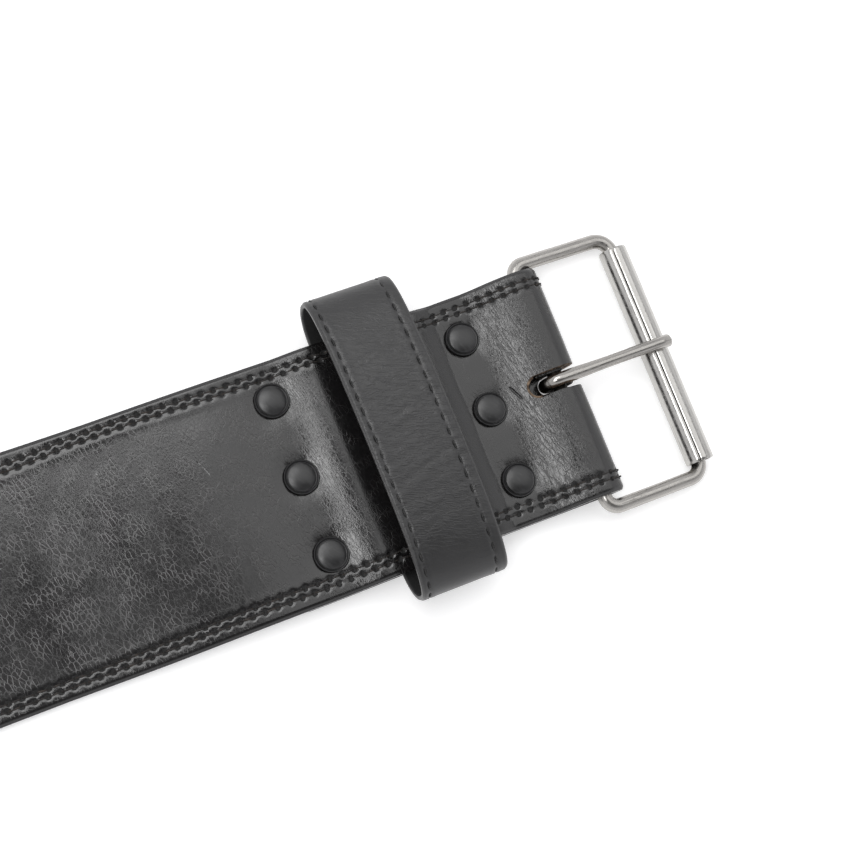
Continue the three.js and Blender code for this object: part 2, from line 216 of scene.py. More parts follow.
def swept_ring(ring: int, stations: int, place: Placing, closed: bool = False) -> bmesh.types.BMesh:
    """Wraps a grid into a tube: a closed section carried along a line.

    Args:
        ring: Number of points round the section.
        stations: Number of sections.
        place: Gives the points and the named point attributes for section and ring indices.
        closed: Whether the line returns to its start.

    Returns:
        The tube, with flat ends where the line is open.
    """
    bm = bmesh.new()
    rows = stations if closed else stations - 1
    bmesh.ops.create_grid(bm, x_segments=ring, y_segments=rows, size=0.5)
    bm.verts.ensure_lookup_table()
    spots = np.array([vert.co[:2] for vert in bm.verts]) + 0.5
    ring_index = np.rint(spots[:, 0] * ring).astype(int) % ring
    station_index = np.rint(spots[:, 1] * rows).astype(int)
    if closed:
        station_index %= stations
    points, marks = place(station_index, ring_index)
    layers = {name: bm.verts.layers.float_vector.new(name) for name in marks}
    for index, vert in enumerate(bm.verts):
        vert.co = points[index]
        for name, layer in layers.items():
            vert[layer] = marks[name][index]
    bmesh.ops.remove_doubles(bm, verts=bm.verts, dist=1e-7)
    if not closed:
        rims = [edge for edge in bm.edges if edge.is_boundary]
        bmesh.ops.holes_fill(bm, edges=rims, sides=0)
    bmesh.ops.recalc_face_normals(bm, faces=bm.faces)
    return bm


def linked(name: str, content: bpy.types.ID) -> bpy.types.Object:
    """Puts a mesh, a lamp or a camera into the scene as an object."""
    holder = bpy.data.objects.new(name, content)
    bpy.context.scene.collection.objects.link(holder)
    return holder


def finished_object(name: str, bm: bmesh.types.BMesh, crease_deg: float = 40) -> bpy.types.Object:
    """Turns a bmesh into a shaded object at the origin.

    Args:
        name: Name of the object.
        bm: The shape, which is freed.
        crease_deg: Faces that meet more sharply than this keep a hard edge.

    Returns:
        The object, linked to the scene.
    """
    mesh = bpy.data.meshes.new(name)
    bm.to_mesh(mesh)
    bm.free()
    mesh.shade_smooth()
    mesh.set_sharp_from_angle(angle=math.radians(crease_deg))
    return linked(name, mesh)


def repeated_object(name: str, pattern: bmesh.types.BMesh, copies: Sequence[Array]) -> bpy.types.Object:
    """Joins many placed copies of one small shape.

    Args:
        name: Name of the object.
        pattern: The small shape, which is freed.
        copies: For each copy, the places of the shape's points.

    Returns:
        The joined object.
    """
    corners = [[vert.index for vert in face.verts] for face in pattern.faces]
    faces = np.array([face for face in corners if len(face) == 4])
    caps = [face for face in corners if len(face) != 4]
    count = len(pattern.verts)
    marks = {
        layer_name: np.array([vert[layer] for vert in pattern.verts])
        for layer_name, layer in pattern.verts.layers.float_vector.items()
    }
    pattern.free()
    all_faces = []
    for index in range(len(copies)):
        all_faces += (faces + index * count).tolist()
        all_faces += [[corner + index * count for corner in cap] for cap in caps]
    mesh = bpy.data.meshes.new(name)
    mesh.from_pydata(np.concatenate(copies).tolist(), [], all_faces)
    for layer_name, values in marks.items():
        write_attribute(mesh, layer_name, np.tile(values, (len(copies), 1)))
    bm = bmesh.new()
    bm.from_mesh(mesh)
    bmesh.ops.recalc_face_normals(bm, faces=bm.faces)
    bm.to_mesh(mesh)
    bm.free()
    mesh.shade_smooth()
    return linked(name, mesh)


def write_attribute(mesh: bpy.types.Mesh, name: str, values: Array) -> None:
    """Stores three numbers on each point of a mesh, for a finish to read."""
    layer = mesh.attributes.new(name, "FLOAT_VECTOR", "POINT")
    layer.data.foreach_set("vector", np.asarray(values, np.float32).ravel())


def read_points(mesh: bpy.types.Mesh) -> Array:
    """Returns the places of a mesh's points, one a row."""
    points = np.zeros(len(mesh.vertices) * 3, np.float32)
    mesh.vertices.foreach_get("co", points)
    return points.reshape(-1, 3).astype(float)


def seat(piece: bpy.types.Object, body: Body, slot: Slot, *nodes: str) -> None:
    """Says what a piece rides on and hides the nodes it stands for.

    Args:
        piece: The finished piece.
        body: The body it moves with.
        slot: The record's slot of its finish; not used.
        nodes: Names of the nodes that it replaces.
    """
    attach(piece, body.value)
    if nodes:
        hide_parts(*nodes)
    LOG.info("%s: %d points on %s", piece.name, len(piece.data.vertices), body.value)


Socket = bpy.types.NodeSocket
Value = Socket | float | tuple


class Wiring:
    """The node tree of one finish, filled by short calls."""

    def __init__(self, name: str) -> None:
        """Starts a material with a bare surface shader."""
        self.material = bpy.data.materials.new(name)
        self.material.use_nodes = True
        self.tree = self.material.node_tree
        self.tree.nodes.clear()
        self.shader = self.tree.nodes.new("ShaderNodeBsdfPrincipled")
        output = self.tree.nodes.new("ShaderNodeOutputMaterial")
        self.tree.links.new(self.shader.outputs["BSDF"], output.inputs["Surface"])

    def put(self, socket: Socket, value: Value) -> None:
        """Links a socket to another, or sets its number."""
        if isinstance(value, Socket):
            self.tree.links.new(value, socket)
        else:
            socket.default_value = value

    def set(self, **values: Value) -> None:
        """Fills the surface shader's inputs, named with underscores for spaces."""
        for name, value in values.items():
            if isinstance(value, tuple) and len(value) == 3:
                value = (*value, 1.0)
            self.put(self.shader.inputs[name.replace("_", " ")], value)

    def place(self) -> Socket:
        """Returns the place on the object."""
        return self.tree.nodes.new("ShaderNodeTexCoord").outputs["Object"]

    def mark(self, name: str) -> tuple[Socket, ...]:
        """Returns a point attribute as a vector and its three parts."""
        reader = self.tree.nodes.new("ShaderNodeAttribute")
        reader.attribute_name = name
        vector = reader.outputs["Vector"]
        return (vector, *self.parts(vector))

    def parts(self, vector: Socket) -> tuple[Socket, ...]:
        """Returns a vector's three parts."""
        splitter = self.tree.nodes.new("ShaderNodeSeparateXYZ")
        self.put(splitter.inputs[0], vector)
        return tuple(splitter.outputs)

    def shaken(self, vector: Socket, scale: float, reach: float) -> Socket:
        """Returns a vector that soft noise moves about within a reach."""
        noise = self.tree.nodes.new("ShaderNodeTexNoise")
        noise.inputs["Scale"].default_value = scale
        self.put(noise.inputs["Vector"], vector)
        moved = self.tree.nodes.new("ShaderNodeVectorMath")
        moved.operation = "MULTIPLY_ADD"
        for socket, value in zip(moved.inputs, (noise.outputs["Color"], (reach,) * 3, vector)):
            self.put(socket, value)
        return moved.outputs["Vector"]

    def stretch(self, vector: Socket, scale: tuple, turn: float = 0.0) -> Socket:
        """Returns a vector for a pattern that is drawn out where the scale is small, then turned about Z."""
        mapping = self.tree.nodes.new("ShaderNodeMapping")
        mapping.vector_type = "TEXTURE"
        self.put(mapping.inputs["Vector"], vector)
        mapping.inputs["Rotation"].default_value = (0, 0, turn)
        mapping.inputs["Scale"].default_value = tuple(1 / share for share in scale)
        return mapping.outputs["Vector"]

    def calc(self, operation: str, first: Value, second: Value = 0.0, third: Value = 0.0) -> Socket:
        """Returns the result of one operation on numbers."""
        node = self.tree.nodes.new("ShaderNodeMath")
        node.operation = operation
        for socket, value in zip(node.inputs, (first, second, third)):
            self.put(socket, value)
        return node.outputs[0]

    def add(self, *values: Value) -> Socket:
        """Returns the total of several numbers."""
        total = values[0]
        for value in values[1:]:
            total = self.calc("ADD", total, value)
        return total

    def times(self, *values: Value) -> Socket:
        """Returns the product of several numbers."""
        product = values[0]
        for value in values[1:]:
            product = self.calc("MULTIPLY", product, value)
        return product

    def step(self, value: Value, low: float, high: float, start: float = 0.0, end: float = 1.0) -> Socket:
        """Returns a smooth step from start to end as a number goes from low to high."""
        node = self.tree.nodes.new("ShaderNodeMapRange")
        node.interpolation_type = "SMOOTHSTEP"
        names = ("Value", "From Min", "From Max", "To Min", "To Max")
        for name, number in zip(names, (value, low, high, start, end)):
            self.put(node.inputs[name], number)
        return node.outputs["Result"]

    def vary(self, noise: Value, middle: float, below: float, above: float) -> Socket:
        """Returns a number that noise moves below and above its middle."""
        return self.step(noise, 0.3, 0.7, middle - below, middle + above)

    def off_middle(self, noise: Value) -> Socket:
        """Returns how far noise is from its middle, which is 0 along winding lines."""
        return self.calc("ABSOLUTE", self.add(noise, -0.5))

    def noise(self, vector: Value, scale: float, detail: float = 2.0, wobble: float = 0.0) -> Socket:
        """Returns soft noise around one half."""
        node = self.tree.nodes.new("ShaderNodeTexNoise")
        self.put(node.inputs["Vector"], vector)
        node.inputs["Scale"].default_value = scale
        node.inputs["Detail"].default_value = detail
        node.inputs["Distortion"].default_value = wobble
        return node.outputs["Fac"]

    def cells(self, vector: Value, scale: float, feature: str = "DISTANCE_TO_EDGE") -> Socket:
        """Returns the distance in a pattern of irregular cells."""
        node = self.tree.nodes.new("ShaderNodeTexVoronoi")
        node.feature = feature
        self.put(node.inputs["Vector"], vector)
        node.inputs["Scale"].default_value = scale
        return node.outputs["Distance"]

    def blend(self, share: Value, first: Value, second: Value) -> Socket:
        """Returns a colour between two."""
        node = self.tree.nodes.new("ShaderNodeMix")
        node.data_type = "RGBA"
        self.put(node.inputs["Factor"], share)
        for name, value in (("A", first), ("B", second)):
            socket = [s for s in node.inputs if s.name == name and s.type == "RGBA"][0]
            self.put(socket, (*value, 1.0) if isinstance(value, tuple) else value)
        return [s for s in node.outputs if s.type == "RGBA"][0]

    def relief(self, height_mm: Value, strength: float = 1.0) -> Socket:
        """Returns a normal from heights in millimetres."""
        node = self.tree.nodes.new("ShaderNodeBump")
        node.inputs["Strength"].default_value = strength
        node.inputs["Distance"].default_value = MM
        self.put(node.inputs["Height"], height_mm)
        return node.outputs["Normal"]


@dataclass(frozen=True)
class SeamPattern:
    """Two rows of needle holes along each edge of the strap.

    Attributes:
        pitch: Distance between holes of one row.
        outer_row: Distance of the outer row from the edge.
        inner_row: Distance of the inner row from the edge.
        hole_radius: Radius of a needle hole.
    """

    pitch: float = 5.25 * MM
    outer_row: float = 4.8 * MM
    inner_row: float = 7.6 * MM
    hole_radius: float = 1.1 * MM

    def middle(self) -> float:
        """Returns the distance of the line between the rows from the edge."""
        return (self.outer_row + self.inner_row) / 2


@dataclass(frozen=True)
class Scar:
    """A short straight mark in the leather, seen from above.

    Attributes:
        start: X and Y of its start.
        end: X and Y of its end.
        width_mm: Its width.
        depth_mm: Its depth, or less than 0 where it stands up.
    """

    start: tuple[float, float]
    end: tuple[float, float]
    width_mm: float
    depth_mm: float

    def height(self, wiring: Wiring, x: Value, y: Value) -> Socket:
        """Returns its relief in millimetres."""
        run_x, run_y = self.end[0] - self.start[0], self.end[1] - self.start[1]
        length = math.hypot(run_x, run_y)
        run_x, run_y = run_x / length, run_y / length
        from_x, from_y = wiring.add(x, -self.start[0]), wiring.add(y, -self.start[1])
        along = wiring.add(wiring.times(from_x, run_x / length), wiring.times(from_y, run_y / length))
        across = wiring.add(wiring.times(from_x, -run_y), wiring.times(from_y, run_x))
        beside = wiring.calc("ABSOLUTE", across)
        ends = wiring.times(wiring.step(along, 0.0, 0.25), wiring.step(along, 0.75, 1.0, 1.0, 0.0))
        return wiring.times(wiring.step(beside, 0.0, self.width_mm * MM, -self.depth_mm, 0.0), ends)


@dataclass(frozen=True)
class StrapLeather:
    """Black smooth leather with cracked grain and creases across the belt.

    Attributes:
        colour: Dye of the grain side.
        worn: Colour where the dye is thin.
        painted_hole_shade: Colour painted inside the needle holes, a painted shade that stands in for their
            shadow.
        roughness: Middle roughness.
        crack_mm: Depth of the fine cracks of the grain.
        crack_cells: Cells a metre of the fine cracks.
        hair_cells: Cells a metre of the hairlines between them.
        crease_mm: Depth of the creases.
        hole_mm: Depth of the needle holes' shading.
        jitter: How far the cracks wander.
        seam: The rows of needle holes.
        scars: Single marks.
    """

    colour: Colour = (0.0062, 0.0058, 0.006)
    worn: Colour = (0.0095, 0.0085, 0.0086)
    painted_hole_shade: Colour = (0.001, 0.0009, 0.0008)
    roughness: float = 0.18
    crack_mm: float = 0.02
    crack_cells: float = 620
    hair_cells: float = 1250
    crease_mm: float = 0.09
    hole_mm: float = 0.25
    jitter: float = 0.0006
    seam: SeamPattern = field(default_factory=SeamPattern)
    scars: tuple[Scar, ...] = (
        Scar((0.0528, 0.0062), (0.0560, -0.0012), 0.75, 0.5),
        Scar((-0.1172, 0.0296), (-0.1128, 0.0252), 0.45, -0.12),
        Scar((-0.079, 0.0205), (-0.0755, 0.0125), 0.4, 0.1),
    )

    def hole_mask(self, wiring: Wiring, count: Value, edge_mm: Value, row: float) -> Socket:
        """Returns 1 inside the needle holes of one row."""
        along = wiring.times(wiring.add(wiring.calc("FRACT", count), -0.5), self.seam.pitch / MM)
        across = wiring.add(edge_mm, -row / MM)
        reach = wiring.calc("SQRT", wiring.add(wiring.times(along, along), wiring.times(across, across)))
        ragged = wiring.add(reach, wiring.times(wiring.add(wiring.noise(wiring.place(), 900), -0.5), 0.9))
        radius = self.seam.hole_radius / MM
        return wiring.step(ragged, radius * 0.72, radius * 1.1, 1.0, 0.0)

    def grain(self, wiring: Wiring, loose: Value, crack: Value, wander: Value) -> Socket:
        """Returns the relief of the grain in millimetres: cracks, hairlines and softness."""
        hair = wiring.cells(wiring.stretch(loose, (1.0, 0.5, 1.0), 0.05), self.hair_cells)
        hair = wiring.step(hair, 0.0, 0.25)
        soft = wiring.noise(wiring.place(), 900, 1)
        deeper = wiring.step(wander, 0.4, 0.65, 0.1, 1.0)
        mixed = wiring.add(wiring.times(crack, deeper), wiring.times(hair, 0.3), wiring.times(soft, 0.3))
        return wiring.times(mixed, self.crack_mm)

    def creases(self, wiring: Wiring, loose: Value, deep: Value, crease: Value) -> Socket:
        """Returns the relief of the lines across the belt in millimetres."""
        lines = wiring.noise(wiring.stretch(loose, (1.0, 0.2, 1.0), 0.1), 1350, 1)
        dash = wiring.step(wiring.off_middle(lines), 0.0, 0.07)
        mixed = wiring.add(wiring.times(lines, 0.2), wiring.times(dash, 0.25), wiring.times(deep, 0.5))
        return wiring.times(mixed, wiring.add(crease, 0.07), self.crease_mm)

    def build(self) -> bpy.types.Material:
        """Wires the finish."""
        wiring = Wiring("strap_leather")
        place = wiring.place()
        _, outer, inner, edge_mm = wiring.mark("seam")
        _, crease, nose, _ = wiring.mark("lie")
        x, y, _ = wiring.parts(place)
        holes = wiring.calc(
            "MAXIMUM",
            self.hole_mask(wiring, outer, edge_mm, self.seam.outer_row),
            self.hole_mask(wiring, inner, edge_mm, self.seam.inner_row),
        )
        wander = wiring.noise(place, 130)
        loose = wiring.shaken(place, 700, self.jitter)
        crack = wiring.cells(wiring.stretch(loose, (1.0, 0.5, 1.0), 0.3), self.crack_cells)
        crack = wiring.step(crack, 0.0, 0.11)
        fold = wiring.noise(wiring.stretch(loose, (1.0, 0.09, 1.0), 0.3), 560)
        deep = wiring.step(wiring.off_middle(fold), 0.0, 0.045)
        height = wiring.add(
            self.grain(wiring, loose, crack, wander),
            self.creases(wiring, loose, deep, crease),
            wiring.times(holes, -self.hole_mm),
            *(scar.height(wiring, x, y) for scar in self.scars),
        )
        dye = wiring.blend(wiring.step(wander, 0.42, 0.75), self.colour, self.worn)
        wiring.set(
            # Painted shade: the needle holes take a near-black colour that stands in for their shadow.
            Base_Color=wiring.blend(holes, dye, self.painted_hole_shade),
            Roughness=wiring.add(
                wiring.vary(wiring.noise(place, 35, 3), self.roughness, 0.03, 0.03),
                wiring.times(wiring.calc("SUBTRACT", 1.0, crack), wander, 0.2),
                wiring.times(wiring.calc("SUBTRACT", 1.0, deep), crease, 0.15),
                wiring.times(holes, 0.6),
                wiring.times(nose, 0.1),
            ),
            Specular_IOR_Level=0.85,
            Normal=wiring.relief(height),
        )
        return wiring.material


@dataclass(frozen=True)
class CutEdge:
    """Undyed leather where a slot or hole is cut, stained on its rim, with painted shade below it.

    Attributes:
        colour: Colour of the clean rim.
        stained: Colour of the rim's stains.
        deep: Colour below the rim, a painted shade that stands in for the shadow inside the slot and holes.
    """

    colour: Colour = (0.27, 0.195, 0.135)
    stained: Colour = (0.07, 0.048, 0.034)
    deep: Colour = (0.008, 0.006, 0.005)

    def build(self) -> bpy.types.Material:
        """Wires the finish from the cut attribute, the share of the leather's thickness."""
        wiring = Wiring("cut_leather_edge")
        place = wiring.place()
        _, height, _, _ = wiring.mark("cut")
        fibres = wiring.noise(wiring.stretch(place, (1.0, 1.0, 0.4)), 1400, 4)
        stain = wiring.noise(place, 420, 3)
        rim = wiring.blend(wiring.step(stain, 0.36, 0.62), self.colour, self.stained)
        wiring.set(
            # Painted shade: below the rim the wall turns to the deep colour, standing in for the shadow
            # inside the cut.
            Base_Color=wiring.blend(wiring.step(height, 0.55, 0.74), self.deep, rim),
            Roughness=wiring.step(fibres, 0.2, 0.8, 0.65, 0.9),
            Specular_IOR_Level=0.25,
            Normal=wiring.relief(wiring.times(fibres, 0.06)),
        )
        return wiring.material


@dataclass(frozen=True)
class KeeperLeather:
    """Black leather, softer and more wrinkled than the strap's.

    Attributes:
        colour: Dye of the grain side.
        edge: Colour of the cut edges.
        inside: Colour of the flesh side.
        roughness: Middle roughness.
        wrinkle_mm: Height of the wrinkles.
    """

    colour: Colour = (0.0155, 0.0152, 0.0158)
    edge: Colour = (0.032, 0.031, 0.031)
    inside: Colour = (0.003, 0.003, 0.003)
    roughness: float = 0.38
    wrinkle_mm: float = 0.07

    def build(self) -> bpy.types.Material:
        """Wires the finish."""
        wiring = Wiring("keeper_leather")
        place = wiring.place()
        flat, _, _, _ = wiring.mark("keeper_flat")
        _, wrinkle, cut, flesh = wiring.mark("keeper_lie")
        pebble = wiring.step(wiring.cells(place, 1500), 0.0, 0.35)
        soft = wiring.noise(place, 1300, 3)
        grain = wiring.times(wiring.add(wiring.times(pebble, 0.6), soft), 0.016)
        across = wiring.noise(wiring.stretch(flat, (0.25, 1.0, 1.0), 0.35), 520, 4, 1.2)
        wrinkles = wiring.step(wiring.off_middle(across), 0.0, 0.14)
        wrinkles = wiring.times(wrinkles, wrinkle, self.wrinkle_mm)
        fuzz = wiring.times(wiring.noise(place, 2600, 3), flesh, 0.12)
        shade = wiring.blend(cut, self.colour, self.edge)
        wiring.set(
            Base_Color=wiring.blend(flesh, shade, self.inside),
            Roughness=wiring.add(
                wiring.vary(wiring.noise(place, 60), self.roughness, 0.03, 0.05),
                wiring.times(flesh, 0.55),
            ),
            Specular_IOR_Level=0.75,
            Normal=wiring.relief(wiring.add(grain, wrinkles, fuzz)),
        )
        return wiring.material


@dataclass(frozen=True)
class Thread:
    """Twisted waxed thread.

    Attributes:
        name: Name of the finish.
        colour: Colour of the thread.
        faded: Colour of its worn strands.
        twist: Turn of its strands along it, in radians a metre.
    """

    name: str
    colour: Colour
    faded: Colour
    twist: float = 5200.0

    def build(self) -> bpy.types.Material:
        """Wires the finish from the yarn attribute: length, then the place round the thread."""
        wiring = Wiring(self.name)
        _, along, around, _ = wiring.mark("yarn")
        twist = wiring.calc("SINE", wiring.add(wiring.times(along, self.twist), wiring.times(around, 2.0)))
        worn = wiring.noise(wiring.place(), 700)
        wiring.set(
            Base_Color=wiring.blend(wiring.step(worn, 0.45, 0.7), self.colour, self.faded),
            Roughness=wiring.step(twist, -1.0, 1.0, 0.6, 0.42),
            Normal=wiring.relief(wiring.times(twist, 0.05)),
        )
        return wiring.material


@dataclass(frozen=True)
class BlackEnamel:
    """Satin black enamel on the rivets' caps.

    Attributes:
        colour: Colour of the enamel.
        scuffed: Colour of its scuffs.
        roughness: Middle roughness.
    """

    colour: Colour = (0.0105, 0.0105, 0.0112)
    scuffed: Colour = (0.024, 0.024, 0.025)
    roughness: float = 0.33

    def build(self) -> bpy.types.Material:
        """Wires the finish."""
        wiring = Wiring("rivet_enamel")
        place = wiring.place()
        peel = wiring.noise(place, 1700)
        scuffs = wiring.noise(wiring.stretch(place, (1.0, 0.3, 1.0), 0.6), 900, 4)
        wiring.set(
            Base_Color=wiring.blend(wiring.step(scuffs, 0.5, 0.75), self.colour, self.scuffed),
            Roughness=wiring.vary(scuffs, self.roughness, 0.04, 0.06),
            Specular_IOR_Level=0.7,
            Normal=wiring.relief(wiring.times(peel, 0.006)),
        )
        return wiring.material


@dataclass(frozen=True)
class Nickel:
    """Nickel plate on drawn wire or rolled sheet.

    Attributes:
        name: Name of the finish.
        colour: Colour of the plate.
        dark: Colour in its drawn lines.
        painted_shade_colour: Colour painted where the bar lies inside the slot, a painted shade that stands
            in for the fold's shadow.
        roughness: Middle roughness.
        line_mm: Depth of the drawn lines.
    """

    name: str
    colour: Colour = (0.42, 0.405, 0.385)
    dark: Colour = (0.17, 0.163, 0.155)
    painted_shade_colour: Colour = (0.02, 0.018, 0.016)
    roughness: float = 0.26
    line_mm: float = 0.024

    def build(self) -> bpy.types.Material:
        """Wires the finish from the metal attribute: length, then the two ways across the wire."""
        wiring = Wiring(self.name)
        lay = wiring.mark("metal")[0]
        drawn = wiring.noise(wiring.stretch(lay, (0.035, 1.0, 1.0)), 1500, 4)
        broad = wiring.noise(wiring.stretch(lay, (0.05, 1.0, 1.0)), 420, 3)
        spots = wiring.noise(lay, 520, 4)
        nicks = wiring.cells(wiring.stretch(lay, (0.6, 1.0, 1.0)), 260, "F1")
        nicks = wiring.step(nicks, 0.05, 0.09, 1.0, 0.0)
        marks = wiring.calc("MAXIMUM", wiring.step(drawn, 0.56, 0.72), wiring.times(nicks, 0.7))
        height = wiring.add(drawn, wiring.times(broad, 1.5), wiring.times(nicks, -1.5))
        height = wiring.times(height, self.line_mm)
        x, y, z = wiring.parts(wiring.place())
        # Painted shade: the plate is darkened and roughened where the bar and the prong's eye sit inside the
        # slot, standing in for the shadow of the fold.
        painted_slot_shade = wiring.times(
            wiring.step(x, 0.0795, 0.084, 1.0, 0.0),
            wiring.step(wiring.calc("ABSOLUTE", y), 0.009, 0.014, 1.0, 0.0),
            wiring.step(z, 0.0125, 0.0145, 1.0, 0.0),
        )
        plate = wiring.blend(wiring.times(marks, 0.75), self.colour, self.dark)
        wiring.set(
            Metallic=1.0,
            Base_Color=wiring.blend(painted_slot_shade, plate, self.painted_shade_colour),
            Roughness=wiring.add(
                wiring.step(spots, 0.35, 0.7, self.roughness - 0.05, self.roughness + 0.09),
                wiring.times(marks, 0.12),
                wiring.times(painted_slot_shade, 0.3),
            ),
            Normal=wiring.relief(height, 0.5),
        )
        return wiring.material


@dataclass
class StrapCourse:
    """The strap's side view as one line, read by the length of its outer face.

    A place on the flat strap is its length from the tongue's tip, its Y and its height through
    the leather, from 0 on the flesh side to the thickness on the grain side. The table of sway
    gives, by X, how far the edges drift along Y and how far they are drawn in, in millimetres.
    """

    thickness: float = 5 * MM
    clearance: float = 0.3 * MM
    flap_tail: float = 15 * MM
    ramp_length: float = 105 * MM
    rear_pinch: float = 2 * MM
    front_pinch: float = 4 * MM
    slack: float = 0.6 * MM
    bulge_margin: float = 3 * MM
    step: float = 0.25 * MM
    sway: tuple[tuple[float, float, float], ...] = (
        (-155, 0.0, 0.0), (-115, -0.6, 0.0), (-45, -0.7, 0.0),
        (0, -0.6, 0.4), (28, -0.4, 0.35), (60, -0.1, 0.0),
    )

    def __post_init__(self) -> None:
        """Lays the line out from the frame's places."""
        strap_low, strap_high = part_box("belt_strap")
        keeper_low, keeper_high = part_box("keeper_loop")
        hinge = [joint for joint in frame["joints"] if joint["name"] == "frame_hinge"][0]
        self.bar_x, _, self.bar_z = hinge["pos_m"]
        self.tip_x, self.nose_x = strap_low.x, strap_high.x
        self.half_width = (strap_high.y - strap_low.y) / 2
        self.rear_x = box_middle("rivet_rear_2")[0]
        self.front_x = box_middle("rivet_front_2")[0]
        self.fold_radius = self.bar_z - self.thickness
        seat = self.thickness + self.clearance
        lift = seat + KEEPER_THICKNESS + self.clearance + self.slack
        flap_end = self.rear_x - self.flap_tail
        heights = [
            (self.tip_x, 0.0),
            (flap_end - self.ramp_length, 0.0),
            (flap_end - self.clearance, seat),
            (self.rear_x + self.rear_pinch, seat),
            (keeper_low.x - self.bulge_margin, lift),
            (keeper_high.x + self.bulge_margin, lift),
            (self.front_x - 2 * self.front_pinch, seat),
            (self.front_x + self.front_pinch, seat),
            (self.bar_x, self.bar_z + self.fold_radius),
        ]
        upper_x = np.arange(self.tip_x, self.bar_x, self.step)
        upper_z = np.zeros_like(upper_x)
        for (from_x, from_z), (to_x, to_z) in zip(heights, heights[1:]):
            inside = (upper_x >= from_x) & (upper_x <= to_x)
            upper_z[inside] = from_z + (to_z - from_z) * smooth(upper_x[inside], from_x, to_x)
        turn = np.linspace(math.pi / 2, -math.pi / 2, 90)
        fold = np.stack([
            self.bar_x + self.fold_radius * np.cos(turn),
            self.bar_z + self.fold_radius * np.sin(turn),
        ], axis=1)
        flap_x = np.arange(self.bar_x - self.step, flap_end, -self.step)
        flap_x = np.append(flap_x, flap_end)
        flap = np.stack([flap_x, np.full_like(flap_x, self.thickness)], axis=1)
        self.inner = np.concatenate([np.stack([upper_x, upper_z], axis=1), fold, flap])
        self.outer = Line(offset(self.inner, self.thickness))
        self.length = self.outer.length
        self.upper_end = float(self.outer.marks[len(upper_x)])
        self.flap_start = float(self.outer.marks[len(upper_x) + len(turn)])

    def mark_at(self, x: float, on_flap: bool = False) -> float:
        """Returns the length at which the outer face passes an X, above or on the flap."""
        marks, xs = self.outer.marks, self.outer.points[:, 0]
        if on_flap:
            chosen = marks > (self.upper_end + self.flap_start) / 2
            return float(np.interp(-x, -xs[chosen], marks[chosen]))
        chosen = marks <= self.upper_end
        return float(np.interp(x, xs[chosen], marks[chosen]))

    def x_at(self, length: Array) -> Array:
        """Returns the X of the outer face at lengths from the tip."""
        return np.interp(length, self.outer.marks, self.outer.points[:, 0])

    def bend(self, flat: Array) -> Array:
        """Lays places on the flat strap onto its course.

        Args:
            flat: Length, Y and height of each place.

        Returns:
            The places in space.
        """
        outer = self.outer.at(flat[:, 0])
        inner = self.outer.read(self.inner, flat[:, 0])
        share = (flat[:, 2] / self.thickness)[:, None]
        side = inner + (outer - inner) * share
        table = np.array(self.sway) * MM
        drift = np.interp(outer[:, 0], table[:, 0], table[:, 1])
        pinch = np.interp(outer[:, 0], table[:, 0], table[:, 2])
        near_edge = smooth(np.abs(flat[:, 1]), 40 * MM, self.half_width)
        across = flat[:, 1] + near_edge * (drift - np.sign(flat[:, 1]) * pinch)
        return np.stack([side[:, 0], across, side[:, 1]], axis=1)


